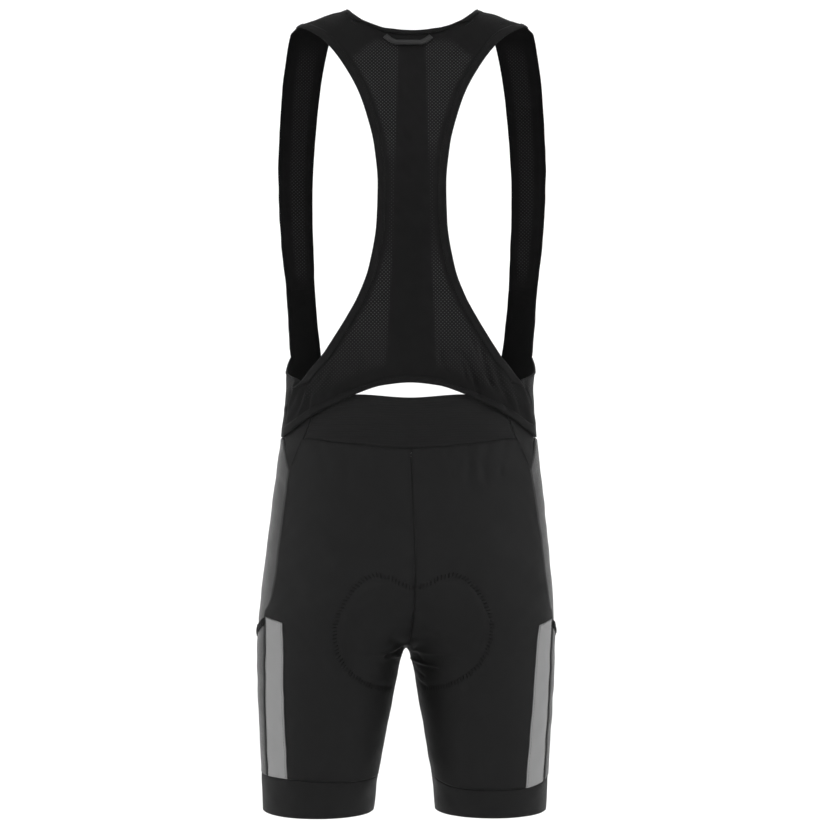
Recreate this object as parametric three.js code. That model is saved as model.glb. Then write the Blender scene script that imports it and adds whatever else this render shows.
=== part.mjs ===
// Cycling bib shorts, as worn and hollow. Millimetres, +Z up.
// The back of the garment faces -Y and the front of the wearer faces +Y.
// The origin is midway between the two strap tops, where the shoulders hold it up.
// Every piece is described for the right half (+X), mirrored, and leant by pose().
import * as THREE from "three";

// Cloth
const WALL = 1.2;
const SEAM_GAP = 0.3;
const TUCK_GAP = 0.9;
const APPLIED_GAP = 0.4;
const CURVED_GAP = 0.9;
const BAND_WALL = 0.9;
const ARMHOLE_BAND = 9;
const ARMHOLE_BAND_ACROSS = 16;
const ARCH_BAND = 7.5;
const NECK_BAND = 5;
const SCOOP_BAND = 6;
const LOOP_TAPE = 6;
const ELASTIC_HEIGHT = 9;
const ELASTIC_WAVES = 9;
const ELASTIC_WAVE_DEPTH = 1.2;
const POCKET_GROOVE = 2.8;

// Levels
const NECK_TOP = -0.5;
const NECK_CENTRE = -30;
const STRAP_SEAM = -310;
const ARCH_CENTRE = -418;
const ARCH_END = -478;
const WAIST_SEAM = -489;
const SCOOP_CENTRE = -502;
const TRUNK_ENDS = -632;
const CROTCH = -713;
const THIGH_ENDS = -800;
const GRIPPER_SEAM = -855;
const HEM = -894;

// The shoulder's ridge: from the neck end of the strap's top to its arm end.
const RIDGE_IN = { x: 73.5, z: NECK_TOP };
const RIDGE_OUT = { x: 129.5, z: -19 };
const RIDGE_SLOPE = (RIDGE_OUT.x - RIDGE_IN.x) / (RIDGE_IN.z - RIDGE_OUT.z);
const RIDGE_FOOT = -30;

// Roundness of a level section of the trunk: 2 is an ellipse, more is squarer.
const TRUNK_POWER = 2.4;

// Between these turns from the outer side, in degrees, the leg takes over from the trunk's
// early blend to its late one, and the late one starts softly on all but the inseam.
const LATE_BLEND = { from: 50, to: 130 };
const SOFT_BLEND = { from: 120, to: 175, height: 14 };

// How far from an end edge a panel's rows still follow it.
const FADE = {
  bibTop: 60,
  arch: 130,
  scoop: 70,
  bandTop: 30,
  bandSeam: 40,
  backTop: 40,
  frontBib: 40,
  sideTop: 75,
  stripeTop: 7,
};

// Levels between which the back bib's columns gather to the neck, and between which they
// turn even along the side. Above the last one the strap's rows turn to the ridge.
const NECK_GATHER = { from: -90, to: -20 };
const SIDE_EVEN = { from: -330, to: -400 };
const RIDGE_TURN = -60;

// The trunk's level sections: half its width, and how far it reaches back and front.
// Above the ridge's foot the half-width follows the ridge instead.
const TRUNK = [
  { z: 0, half: 72, back: 6, front: 6, axis: 20 },
  { z: -3, half: 81, back: 20, front: 19, axis: 22 },
  { z: -8, half: 96, back: 31, front: 29, axis: 25 },
  { z: -18, half: 126, back: 42, front: 38, axis: 30 },
  { z: -30, half: 162.8, back: 51, front: 46, axis: 36 },
  { z: -44, half: 186, back: 58, front: 55, axis: 40 },
  { z: -75, half: 190, back: 70, front: 70, axis: 42 },
  { z: -110, half: 182, back: 84, front: 86, axis: 43 },
  { z: -150, half: 171, back: 94, front: 99, axis: 44 },
  { z: -180, half: 166, back: 100, front: 105, axis: 44 },
  { z: -230, half: 160, back: 101, front: 108, axis: 44 },
  { z: -280, half: 155, back: 97, front: 107, axis: 44 },
  { z: -330, half: 148, back: 93, front: 105, axis: 44 },
  { z: -380, half: 140.5, back: 93, front: 104, axis: 45 },
  { z: -423, half: 138.5, back: 95, front: 104, axis: 47 },
  { z: -476, half: 143, back: 97, front: 105, axis: 52 },
  { z: -542, half: 151, back: 104, front: 105, axis: 60 },
  { z: -569, half: 154, back: 109, front: 104, axis: 66 },
  { z: -610, half: 158.5, back: 120, front: 102, axis: 76 },
  { z: -660, half: 163.5, back: 119, front: 96, axis: 82 },
  { z: -713, half: 166, back: 99, front: 87, axis: 83 },
  { z: -760, half: 165.2, back: 90, front: 84, axis: 83 },
  { z: -800, half: 163, back: 84, front: 80, axis: 83 },
];

// The leg's level sections: its inner and outer x, and how far it reaches back and front.
const LEG = [
  { z: -632, inner: 0, outer: 161, back: 116, front: 99 },
  { z: -660, inner: 0, outer: 163.5, back: 112, front: 94 },
  { z: -713, inner: 0, outer: 166, back: 98, front: 86 },
  { z: -716, inner: 2.6, outer: 166, back: 97.3, front: 85.7 },
  { z: -723, inner: 5.2, outer: 166, back: 95.5, front: 85 },
  { z: -737, inner: 8.6, outer: 165.8, back: 92, front: 84 },
  { z: -771, inner: 14.6, outer: 164.5, back: 87, front: 82 },
  { z: -799, inner: 20, outer: 163, back: 84, front: 80 },
  { z: -833, inner: 26, outer: 161, back: 81, front: 78 },
  { z: -865, inner: 31.3, outer: 159.8, back: 79, front: 76.5 },
  { z: -894, inner: 34, outer: 158.5, back: 78, front: 76 },
];

// The edge of the back bib: the armhole, then the side seam down to the arch.
const BIB_EDGE = [
  { ...RIDGE_OUT },
  { z: -30, x: 110 },
  { z: -44, x: 93.7 },
  { z: -67, x: 76.3 },
  { z: -98, x: 59.4 },
  { z: -124, x: 50.2 },
  { z: -161, x: 41.2 },
  { z: -203, x: 37.3 },
  { z: -242, x: 38.4 },
  { z: -293, x: 47 },
  { z: -324, x: 58.7 },
  { z: -348, x: 72 },
  { z: -372, x: 87 },
  { z: -389, x: 98.5 },
  { z: -403, x: 110.5 },
  { z: -415, x: 120 },
  { z: -428, x: 131 },
  { z: -450, x: 137 },
  { z: -478, x: 140 },
];
const ARMHOLE_BOTTOM = -415;

// The top edge of the back bib: the neck, then the shoulder seam.
const BIB_TOP = [
  { x: 0, z: NECK_CENTRE },
  { x: 28, z: -27.5 },
  { x: 53, z: -18 },
  { x: 66, z: -8 },
  { ...RIDGE_IN },
  { ...RIDGE_OUT },
];

// The arch: the lower edge of the back bib.
const ARCH = [
  { x: 0, z: ARCH_CENTRE },
  { x: 30, z: -421 },
  { x: 58, z: -430 },
  { x: 84, z: -442 },
  { x: 110, z: -456 },
  { x: 128, z: -469 },
  { x: 140, z: ARCH_END },
];

// The strap's two edges down the chest, from the shoulder seam to the strap seam.
const STRAP_INNER = [
  { ...RIDGE_IN },
  { z: -12, x: 84 },
  { z: -25, x: 91.5 },
  { z: -40, x: 96.5 },
  { z: -70, x: 103 },
  { z: -100, x: 107.5 },
  { z: -150, x: 112.5 },
  { z: -190, x: 114.8 },
  { z: -220, x: 115 },
  { z: -265, x: 113.6 },
  { z: STRAP_SEAM, x: 112 },
];
const STRAP_OUTER = [
  { ...RIDGE_OUT },
  { z: -25, x: 137 },
  { z: -55, x: 144 },
  { z: -84, x: 148 },
  { z: -129, x: 151 },
  { z: -170, x: 152.4 },
  { z: -220, x: 151 },
  { z: -266, x: 147.7 },
  { z: STRAP_SEAM, x: 142.5 },
];

// The front bib: the scoop edge towards the centre front, then the armhole edge, which
// runs down the front, round the side and a little way up the back.
const SCOOP_SIDE = [
  { z: STRAP_SEAM, x: 112 },
  { z: -350, x: 108.5 },
  { z: -388, x: 104 },
  { z: -420, x: 99 },
  { z: -450, x: 90 },
  { z: -474, x: 78 },
];
const ARMHOLE_FRONT = [
  { z: STRAP_SEAM, x: 142.5 },
  { z: -358, x: 139 },
  { z: -388, x: 136.5 },
];
const ARMHOLE_SIDE = -402;

// The low scoop across the front panels, and the seam that joins the front bib to them.
const SCOOP_FRONT = [
  { x: 0, z: SCOOP_CENTRE },
  { x: 30, z: -499 },
  { x: 56, z: -490 },
  { x: 78, z: -474 },
  { x: 120, z: -476 },
  { x: 146, z: -479 },
];

// The waistband: its top edge, lower seam and outer edge. The wedge beside it starts there.
const BAND_TOP = [
  { x: 0, z: -434 },
  { x: 58, z: -430.5 },
  { x: 112, z: -433 },
];
const BAND_SEAM = [
  { x: 0, z: WAIST_SEAM },
  { x: 78, z: -483 },
  { x: 112, z: -479 },
  { x: 120, z: -480 },
];
const BAND_OUTER = [
  { z: -433, x: 104 },
  { z: -458, x: 110.5 },
  { z: -467, x: 113.5 },
  { z: -481, x: 118.5 },
];
const WING_INNER = [
  ...BAND_OUTER,
  { z: -493, x: 123.5 },
  { z: -506, x: 129.3 },
  { z: -513, x: 132.3 },
];
const WING_OUTER = [
  { z: -433, x: 124 },
  { z: -458, x: 134.5 },
  { z: -481, x: 140.2 },
  { z: -490, x: 138.9 },
  { z: -501, x: 136.8 },
  { z: -513, x: 133.2 },
];

// Seams down the trunk and leg, as x on the back or on the front.
const BACK_SEAM = [
  { z: -481, x: 118.5 },
  { z: -493, x: 123.5 },
  { z: -506, x: 129.3 },
  { z: -514, x: 133 },
  { z: -540, x: 137.4 },
  { z: -571, x: 141.6 },
  { z: -616, x: 147 },
  { z: -636, x: 149.4 },
  { z: -663, x: 155 },
  { z: -675, x: 159.4 },
  { z: -679, x: 158.4 },
  { z: -684, x: 141.5 },
  { z: -770, x: 137 },
  { z: GRIPPER_SEAM, x: 131 },
];
const BACK_FAN = [
  { z: -481, x: 118.5 },
  { z: -514, x: 129.5 },
  { z: -571, x: 137 },
  { z: -640, x: 141.5 },
  { z: -700, x: 140.4 },
  { z: GRIPPER_SEAM, x: 131 },
];
const STRIPE_OUTER = [
  { z: -675, x: 159.4 },
  { z: -679, x: 158.8 },
  { z: -770, x: 156.6 },
  { z: GRIPPER_SEAM, x: 152.5 },
];
const STRIPE_TOP = [
  { x: 141, z: -684 },
  { x: 159.2, z: -679 },
];
const FRONT_SEAM = [
  { z: -476, x: 120 },
  { z: -571, x: 131 },
  { z: -640, x: 138 },
  { z: CROTCH, x: 141 },
  { z: -780, x: 139 },
  { z: GRIPPER_SEAM, x: 136 },
];
// The pocket's slanted opening, by how far round the side it is: 0 behind, 1 in front.
const POCKET_TOP = [
  { round: 0, z: -689 },
  { round: 0.45, z: -704 },
  { round: 1, z: -722 },
];

// Levels that the trunk's and legs' panels have their rows at. They are closest at the
// stripe's slanted top and at the crotch.
const ROW_LEVELS = [
  -489, -502, -520, -541, -566, -592, -616, -640, -659, -675, -679, -681.5, -684, -692, -702,
  -708, -711, -713, -717, -725, -741, -763, -788, -814, -836, -855,
];

// Largest folds: a height above the surface along the line between two points seen from
// behind. A negative height is a hollow.
const FOLDS = [
  { x: 44, z: -386, toX: 62, toZ: -424, height: 1.6, spread: 7 },
  { x: 66, z: -382, toX: 96, toZ: -442, height: 2.4, spread: 8 },
  { x: 100, z: -402, toX: 116, toZ: -442, height: 2, spread: 6 },
  { x: 124, z: -434, toX: 134, toZ: -462, height: 1.6, spread: 5 },
  { x: -98, z: -414, toX: -108, toZ: -446, height: 1.6, spread: 7 },
  { x: -20, z: -698, toX: -6, toZ: -709, height: -2.2, spread: 6 },
];

// How the garment leans to one side and turns about +Z as it hangs.
const LEAN = [
  { z: -894, x: -8.4 },
  { z: -770, x: -7.2 },
  { z: -640, x: -5.6 },
  { z: -560, x: -4.4 },
  { z: -435, x: -2.9 },
  { z: -380, x: -0.7 },
  { z: -200, x: 0 },
];
const TURN = [
  { z: -894, degrees: 1.5 },
  { z: -760, degrees: 3 },
  { z: -660, degrees: 4.5 },
  { z: -610, degrees: 4 },
  { z: -490, degrees: 1.5 },
  { z: -400, degrees: 0 },
];

// How far the worn cloth has slid up the outer side of the left leg and down the back of
// the right one, and between which distances each slide sets in.
const SLIDE = [
  { z: HEM, left: 0, right: 0 },
  { z: GRIPPER_SEAM, left: 3.6, right: -8 },
  { z: -800, left: 3.8, right: 0 },
  { z: -690, left: 4.2, right: 0 },
  { z: -640, left: 0, right: 0 },
];
const OUTER_SIDE = { from: 60, to: 140 };
const LEG_BACK = { from: 5, to: 75 };

// The hang loop's tape: its middle line on the back bib.
const LOOP_LINE = [
  { x: -29.5, z: -36.4 },
  { x: -24.5, z: -41 },
  { x: -18, z: -44.8 },
  { x: -4, z: -45 },
  { x: 10, z: -44.8 },
  { x: 16, z: -41.4 },
  { x: 21, z: -37 },
];

const BACK = -1;
const FRONT = 1;
const SEARCH_STEPS = 40;
const SETTLE_STEPS = 12;

const mix = (a, b, share) => a + (b - a) * share;
const clamp = (value, low, high) => Math.min(high, Math.max(low, value));
const ramp = (value, from, to) => clamp((value - from) / (to - from), 0, 1);
const steps = (start, end, count) =>
  Array.from({ length: count + 1 }, (_, i) => mix(start, end, i / count));

// A smooth curve through a table's rows that never overshoots them.
function curve(table, key, column) {
  const rows = [...table].sort((a, b) => a[key] - b[key]);
  const at = rows.map((row) => row[key]);
  const value = rows.map((row) => row[column]);
  const rise = at.slice(1).map((k, i) => (value[i + 1] - value[i]) / (k - at[i]));
  const slope = at.map((_, i) => {
    if (i === 0) return rise[0];
    if (i === at.length - 1) return rise[i - 1];
    const product = rise[i - 1] * rise[i];
    return product <= 0 ? 0 : (2 * product) / (rise[i - 1] + rise[i]);
  });
  return (where) => {
    const k = clamp(where, at[0], at[at.length - 1]);
    let i = 0;
    while (i < rise.length - 1 && k > at[i + 1]) i += 1;
    const span = at[i + 1] - at[i];
    const f = (k - at[i]) / span;
    const square = f * f;
    const cube = square * f;
    return (
      value[i] * (2 * cube - 3 * square + 1) +
      slope[i] * span * (cube - 2 * square + f) +
      value[i + 1] * (3 * square - 2 * cube) +
      slope[i + 1] * span * (cube - square)
    );
  };
}

// The input between low and high where a falling function passes zero.
function crossing(fall, low, high) {
  let from = low;
  let to = high;
  for (let step = 0; step < SEARCH_STEPS; step += 1) {
    const middle = (from + to) / 2;
    if (fall(middle) > 0) from = middle;
    else to = middle;
  }
  return (from + to) / 2;
}

const lowerHalf = curve(TRUNK, "z", "half");
const ridgeHalf = (z) => RIDGE_IN.x + (RIDGE_IN.z - z) * RIDGE_SLOPE;
const trunk = {
  half: (z) => (z > RIDGE_FOOT ? ridgeHalf(z) : lowerHalf(z)),
  back: curve(TRUNK, "z", "back"),
  front: curve(TRUNK, "z", "front"),
  axis: curve(TRUNK, "z", "axis"),
};
const leg = {
  inner: curve(LEG, "z", "inner"),
  outer: curve(LEG, "z", "outer"),
  back: curve(LEG, "z", "back"),
  front: curve(LEG, "z", "front"),
};

const axisAt = (z) => (z > CROTCH ? trunk.axis(z) : (leg.inner(z) + leg.outer(z)) / 2);

// From the axis of its half, how far the trunk reaches at an angle from the outer side.
// Positive angles turn to the back.
function trunkReach(angle, z) {
  const across = Math.cos(angle);
  const deep = Math.abs(Math.sin(angle));
  const half = trunk.half(z);
  const depth = angle >= 0 ? trunk.back(z) : trunk.front(z);
  const axis = axisAt(z);
  const spare = (reach) =>
    1 -
    (Math.abs(axis + reach * across) / half) ** TRUNK_POWER -
    ((reach * deep) / depth) ** TRUNK_POWER;
  return crossing(spare, 0, 2 * (half + depth));
}

function legReach(angle, z) {
  const wide = leg.outer(z) - axisAt(z);
  const deep = angle >= 0 ? leg.back(z) : leg.front(z);
  return 1 / Math.hypot(Math.cos(angle) / wide, Math.sin(angle) / deep);
}

// The leg's section turns into the trunk's from the crotch upwards on the inner side, and
// from further down the thigh on the outer side.
function reach(angle, z) {
  const { smoothstep } = THREE.MathUtils;
  const turn = THREE.MathUtils.radToDeg(Math.abs(angle));
  const soft = SOFT_BLEND.height * (1 - smoothstep(turn, SOFT_BLEND.from, SOFT_BLEND.to));
  const above = z - CROTCH;
  const rounded = Math.abs(above) < soft ? (above + soft) ** 2 / (4 * soft) : above;
  const innerShare = clamp(rounded / (TRUNK_ENDS - CROTCH), 0, 1);
  const outerShare = smoothstep(z, THIGH_ENDS, TRUNK_ENDS);
  const share = mix(outerShare, innerShare, smoothstep(turn, LATE_BLEND.from, LATE_BLEND.to));
  if (share === 1) return trunkReach(angle, z);
  if (share === 0) return legReach(angle, z);
  return mix(legReach(angle, z), trunkReach(angle, z), share);
}

// The angle at which the right half ends: at x = 0 on the trunk, at the inseam on the leg.
const endAngles = new Map();
function endAngle(z, face) {
  if (z <= CROTCH) return Math.PI;
  const key = `${z} ${face}`;
  if (!endAngles.has(key)) {
    const sign = -face;
    const x = (angle) => axisAt(z) + reach(sign * angle, z) * Math.cos(angle);
    endAngles.set(key, crossing(x, Math.PI / 2, Math.PI));
  }
  return endAngles.get(key);
}

// A point of the right half. side is 0 at the outermost line, 1 at the centre back or
// inseam, and -1 at the centre front.
function surface(side, z) {
  const angle = side >= 0 ? side * endAngle(z, BACK) : side * endAngle(z, FRONT);
  const distance = reach(angle, z);
  const x = axisAt(z) + distance * Math.cos(angle);
  return new THREE.Vector3(x, -distance * Math.sin(angle), z);
}

// The side value of the point that lies at x on the back or on the front.
function sideAt(x, z, face) {
  const sign = -face;
  return sign * crossing((side) => surface(sign * side, z).x - x, 0, 1);
}

// A point of the trunk seen from behind or from the front, on either half.
const ON_RIDGE = 0.9999;
function trunkPoint(x, z, face) {
  const ratio = Math.abs(x) / trunk.half(z);
  const share = ratio > ON_RIDGE ? 1 : ratio;
  const depth = face === BACK ? trunk.back(z) : trunk.front(z);
  const y = face * depth * (1 - share ** TRUNK_POWER) ** (1 / TRUNK_POWER);
  return new THREE.Vector3(x, y, z);
}

// How far out a point is, against the surface at its angle and level: 1 is on it.
function outness(x, y, z) {
  const across = Math.abs(x) - axisAt(z);
  const angle = Math.atan2(-y, across);
  return Math.hypot(across, y) / reach(angle, z);
}

function onto(point) {
  const axis = axisAt(point.z);
  const share = 1 / outness(point.x, point.y, point.z);
  const half = Math.sign(point.x) || 1;
  const x = half * (axis + (Math.abs(point.x) - axis) * share);
  return new THREE.Vector3(x, point.y * share, point.z);
}

const NORMAL_STEP = 0.5;
function outward(point) {
  const { x, y, z } = point;
  const h = NORMAL_STEP;
  const normal = new THREE.Vector3(
    outness(x + h, y, z) - outness(x - h, y, z),
    outness(x, y + h, z) - outness(x, y - h, z),
    outness(x, y, z + h) - outness(x, y, z - h),
  );
  return normal.normalize();
}

// How far the folds raise a point of the back, at its own x or mirrored to the left.
function foldHeight(point, half) {
  if (point.y > 0) return 0;
  let height = 0;
  for (const fold of FOLDS) {
    const alongX = fold.toX - fold.x;
    const alongZ = fold.toZ - fold.z;
    const fromX = point.x * half - fold.x;
    const fromZ = point.z - fold.z;
    const square = alongX ** 2 + alongZ ** 2;
    const share = clamp((fromX * alongX + fromZ * alongZ) / square, 0, 1);
    const away = (fromX - alongX * share) ** 2 + (fromZ - alongZ * share) ** 2;
    height += fold.height * Math.exp(-away / fold.spread ** 2);
  }
  return height;
}

const leanAt = curve(LEAN, "z", "x");
const turnAt = curve(TURN, "z", "degrees");
const slideLeft = curve(SLIDE, "z", "left");
const slideRight = curve(SLIDE, "z", "right");
function slide({ x, y, z }) {
  const { smoothstep } = THREE.MathUtils;
  const outer = smoothstep(-x, OUTER_SIDE.from, OUTER_SIDE.to);
  const behind = x > 0 ? smoothstep(-y, LEG_BACK.from, LEG_BACK.to) : 0;
  return slideLeft(z) * outer + slideRight(z) * behind;
}

function pose(point) {
  const slid = slide(point);
  const angle = THREE.MathUtils.degToRad(turnAt(point.z));
  point.applyAxisAngle(new THREE.Vector3(0, 0, 1), angle);
  point.x += leanAt(point.z);
  point.z += slid;
  return point;
}

// Moves a grid's outer rows and columns inwards, to leave half a seam gap there.
function trim(grid, amount = SEAM_GAP / 2) {
  const drawIn = (point, next) => {
    const distance = point.distanceTo(next);
    point.lerp(next, Math.min(0.4, amount / distance));
  };
  for (const row of grid) {
    drawIn(row[0], row[1]);
    drawIn(row[row.length - 1], row[row.length - 2]);
  }
  grid[0].forEach((point, i) => drawIn(point, grid[1][i]));
  const last = grid.length - 1;
  grid[last].forEach((point, i) => drawIn(point, grid[last - 1][i]));
  return grid;
}

// A grid of points between two side edges, at the given levels. The first row is moved
// onto the top edge and the last onto the bottom edge, and the rows near them follow.
// shares(z) gives each column's place between the edges, from 0 to 1.
function panel({ levels, shares, place, left, right, top, bottom, topFade, bottomFade }) {
  const first = levels[0];
  const last = levels[levels.length - 1];
  const columns = shares(first).map((_, i) => i);
  const pointAt = (i, z) => place(mix(left(z), right(z), shares(z)[i]), z);
  const settle = (i, start, edge) => {
    let z = start;
    for (let step = 0; step < SETTLE_STEPS; step += 1) z = edge(pointAt(i, z));
    return z;
  };
  const tops = columns.map((i) => (top ? settle(i, first, top) - first : 0));
  const bottoms = columns.map((i) => (bottom ? settle(i, last, bottom) - last : 0));
  return levels.map((level) => {
    const topShare = top ? ramp(level, first - topFade, first) : 0;
    const bottomShare = bottom ? ramp(level, last + bottomFade, last) : 0;
    return columns.map((i) =>
      pointAt(i, level + tops[i] * topShare + bottoms[i] * bottomShare),
    );
  });
}

const even = (count) => {
  const list = steps(0, 1, count);
  return () => list;
};

// A narrow strip of cloth to each side of a line, as pairs of points.
function tape(line, width) {
  const shifted = (side) =>
    line.map((point, i) => {
      const before = line[Math.max(0, i - 1)];
      const after = line[Math.min(line.length - 1, i + 1)];
      const along = after.clone().sub(before).normalize();
      const step = outward(point).cross(along).multiplyScalar((side * width) / 2);
      return onto(point.clone().add(step));
    });
  const [upper, lower] = [shifted(1), shifted(-1)];
  return line.map((point, i) => [upper[i], point, lower[i]]);
}

// The closed solid between a grid moved to two distances from the surface.
// half is 1 or -1 for a piece of the right or left half, or 0 for one that spans both.
function sheet(grid, { inner, outer, ring = false, folded = true, wave = null }, half = 0) {
  const rows = grid.length;
  const columns = grid[0].length;
  const minimum = SEAM_GAP / 2;
  const placed = (distance) =>
    grid.flatMap((row, r) =>
      row.map((point, c) => {
        const fold = folded ? foldHeight(point, half || 1) : 0;
        const out = distance + fold + (wave ? wave(r, c) : 0);
        const moved = point.clone().addScaledVector(outward(point), out);
        if (half) moved.x = Math.max(moved.x, minimum);
        return moved;
      }),
    );
  const points = [...placed(outer), ...placed(inner)];
  const under = rows * columns;
  const faces = [];
  const quad = (a, b, c, d) => faces.push([a, b, c], [a, c, d]);
  const columnSteps = ring ? columns : columns - 1;
  const id = (r, c) => r * columns + (c % columns);
  for (let r = 0; r < rows - 1; r += 1) {
    for (let c = 0; c < columnSteps; c += 1) {
      const [a, b, d, e] = [id(r, c), id(r, c + 1), id(r + 1, c + 1), id(r + 1, c)];
      quad(a, b, d, e);
      quad(under + e, under + d, under + b, under + a);
    }
  }
  const wall = (a, b) => quad(a, under + a, under + b, b);
  for (let c = 0; c < columnSteps; c += 1) {
    wall(id(0, c), id(0, c + 1));
    wall(id(rows - 1, c + 1), id(rows - 1, c));
  }
  if (!ring) {
    for (let r = 0; r < rows - 1; r += 1) {
      wall(id(r + 1, 0), id(r, 0));
      wall(id(r, columns - 1), id(r + 1, columns - 1));
    }
  }
  return { points, faces };
}

function mirrored({ points, faces }) {
  return { points: points.map((p) => new THREE.Vector3(-p.x, p.y, p.z)), faces };
}

function signedVolume({ points, faces }) {
  const cross = new THREE.Vector3();
  const term = ([a, b, c]) => cross.crossVectors(points[b], points[c]).dot(points[a]) / 6;
  return faces.reduce((sum, face) => sum + term(face), 0);
}

const cloth = (color, roughness) =>
  new THREE.MeshStandardMaterial({ color, roughness, metalness: 0 });
const finish = {
  main: () => cloth(0x212122, 0.85),
  mesh: () => cloth(0x1d1d1e, 0.9),
  band: () => cloth(0x19191a, 0.8),
  side: () => cloth(0x3c3d3f, 0.55),
  stripe: () => cloth(0x8c8d8e, 0.5),
  waist: () => cloth(0x202021, 0.85),
};

const garment = new THREE.Group();

function add(name, form, material) {
  const posed = { points: form.points.map((p) => pose(p.clone())), faces: form.faces };
  const outside = signedVolume(posed) > 0;
  const index = posed.faces.flatMap(([a, b, c]) => (outside ? [a, b, c] : [a, c, b]));
  const geometry = new THREE.BufferGeometry().setFromPoints(posed.points);
  geometry.setIndex(index);
  geometry.computeVertexNormals();
  const mesh = new THREE.Mesh(geometry, material());
  mesh.name = name;
  garment.add(mesh);
}

function addPair(name, grid, options, material) {
  add(`${name}_right`, sheet(grid, options, 1), material);
  add(`${name}_left`, mirrored(sheet(grid, options, -1)), material);
}

const PLAIN = { inner: -WALL, outer: 0 };
const TUCKED = { inner: -2 * WALL - TUCK_GAP, outer: -WALL - TUCK_GAP, folded: false };
const APPLIED = { inner: APPLIED_GAP, outer: APPLIED_GAP + BAND_WALL };
const CURVED = { inner: CURVED_GAP, outer: CURVED_GAP + BAND_WALL };

const between = (levels, start, end) => levels.filter((z) => z < start && z >= end);
const edgeSide = (table, face) => {
  const x = curve(table, "z", "x");
  return (z) => sideAt(x(z), z, face);
};
// A level edge by its distance from the middle, where it runs level.
const byX = (table) => {
  const across = { x: -table[1].x, z: table[1].z };
  const z = curve(table[0].x === 0 ? [across, ...table] : table, "x", "z");
  return (point) => z(Math.abs(point.x));
};

const bibEdge = curve(BIB_EDGE, "z", "x");
const bandOuter = curve(BAND_OUTER, "z", "x");
const backSeam = edgeSide(BACK_SEAM, BACK);
const frontSeam = edgeSide(FRONT_SEAM, FRONT);
const stripeOuter = edgeSide(STRIPE_OUTER, BACK);

// The back bib's columns: a binding's width along each edge and even columns between.
// Near the neck one column runs to the strap's inner top, and low down, where the cloth
// turns round to the side, the columns are even along it.
const NECK_SHARES = [0, 0.24, 0.46, 0.64, 0.78, 0.89, 0.96, 1];
const NECK_COLUMNS = NECK_SHARES.length - 1;
const BIB_COLUMNS = NECK_COLUMNS + 3;
function bibShares(z) {
  const edge = bibEdge(z);
  const slope = (bibEdge(z + 1) - bibEdge(z - 1)) / 2;
  const inner = edge - Math.min(ARMHOLE_BAND_ACROSS, ARMHOLE_BAND * Math.hypot(1, slope));
  const neckShare = RIDGE_IN.x / (RIDGE_OUT.x - ARMHOLE_BAND);
  const turn = Math.asin(clamp(inner / trunk.half(z), 0, 1));
  const right = steps(0, BIB_COLUMNS, BIB_COLUMNS).map((k) => {
    const spare = (k - NECK_COLUMNS) / (BIB_COLUMNS - NECK_COLUMNS);
    const onNeck = k < NECK_COLUMNS ? NECK_SHARES[k] * neckShare : 0;
    const atNeck = onNeck || (k && mix(neckShare, 1, spare));
    const share = mix(k / BIB_COLUMNS, atNeck, ramp(z, NECK_GATHER.from, NECK_GATHER.to));
    const turned = trunk.half(z) * Math.sin(turn * share);
    return mix(inner * share, turned, ramp(z, SIDE_EVEN.from, SIDE_EVEN.to));
  });
  const across = [...right.slice(1).reverse().map((x) => -x), ...right];
  return [0, ...across.map((x) => (x + edge) / (2 * edge)), 1];
}

const bibGrid = trim(
  panel({
    levels: [
      NECK_CENTRE, -31.7, NECK_CENTRE - NECK_BAND,
      -41, -49, -58, -70, -84, -102, -124, -150, -180, -212, -244, -274, -300,
      -322, -338, -350, -360, -370, -380, -390, -400,
      ARCH_CENTRE + ARCH_BAND, ARCH_CENTRE,
    ],
    shares: bibShares,
    place: (x, z) => trunkPoint(x, z, BACK),
    left: (z) => -bibEdge(z),
    right: bibEdge,
    top: byX(BIB_TOP),
    bottom: byX(ARCH),
    topFade: FADE.bibTop,
    bottomFade: FADE.arch,
  }),
);
const bibRight = bibGrid.map((row) => row.slice(-2));
const bibSeamLevels = bibRight.map((pair) => pair[1].z).filter((z) => z < -408);

// The strap: its top row lies along the shoulder's ridge.
const strapInner = curve(STRAP_INNER, "z", "x");
const strapOuter = curve(STRAP_OUTER, "z", "x");
function strapRow(level) {
  const drop = (RIDGE_OUT.z - RIDGE_IN.z) * ramp(level, RIDGE_TURN, NECK_TOP);
  const outerLevel = level + drop;
  const width = strapOuter(outerLevel) - strapInner(level);
  const shares = [0, ...steps(SCOOP_BAND / width, 1 - ARMHOLE_BAND / width, 3), 1];
  return shares.map((share) =>
    trunkPoint(
      mix(strapInner(level), strapOuter(outerLevel), share),
      mix(level, outerLevel, share),
      FRONT,
    ),
  );
}
const strapGrid = trim(
  [
    NECK_TOP, -4, -9, -16, -26, -40, -58, -80, -105, -132, -160, -190, -220, -250, -280,
    STRAP_SEAM,
  ].map(strapRow),
);

// The front bib's outer edge: down the front, across the side to the foot of the
// armhole, then down the side seam.
const armholeFront = edgeSide(ARMHOLE_FRONT, FRONT);
const bibSide = edgeSide(BIB_EDGE, BACK);
const armholeTurn = ARMHOLE_FRONT[ARMHOLE_FRONT.length - 1].z;
const armholeLow = curve(
  [
    { z: armholeTurn, side: armholeFront(armholeTurn) },
    { z: ARMHOLE_SIDE, side: 0 },
    { z: ARMHOLE_BOTTOM, side: bibSide(ARMHOLE_BOTTOM) },
  ],
  "z",
  "side",
);
function frontBibOuter(z) {
  if (z > armholeTurn) return armholeFront(z);
  return z < ARMHOLE_BOTTOM ? bibSide(z) : armholeLow(z);
}

// The seam under the front bib, and the side panel's top: from the scoop round to the wedge.
const waistRow = (face) => ({ z, x }) => ({ z, side: sideAt(x, z, face) });
const waistSeam = curve(
  [
    ...SCOOP_FRONT.slice(3).map(waistRow(FRONT)),
    ...WING_OUTER.slice(2).map(waistRow(BACK)),
  ],
  "side",
  "z",
);

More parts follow.
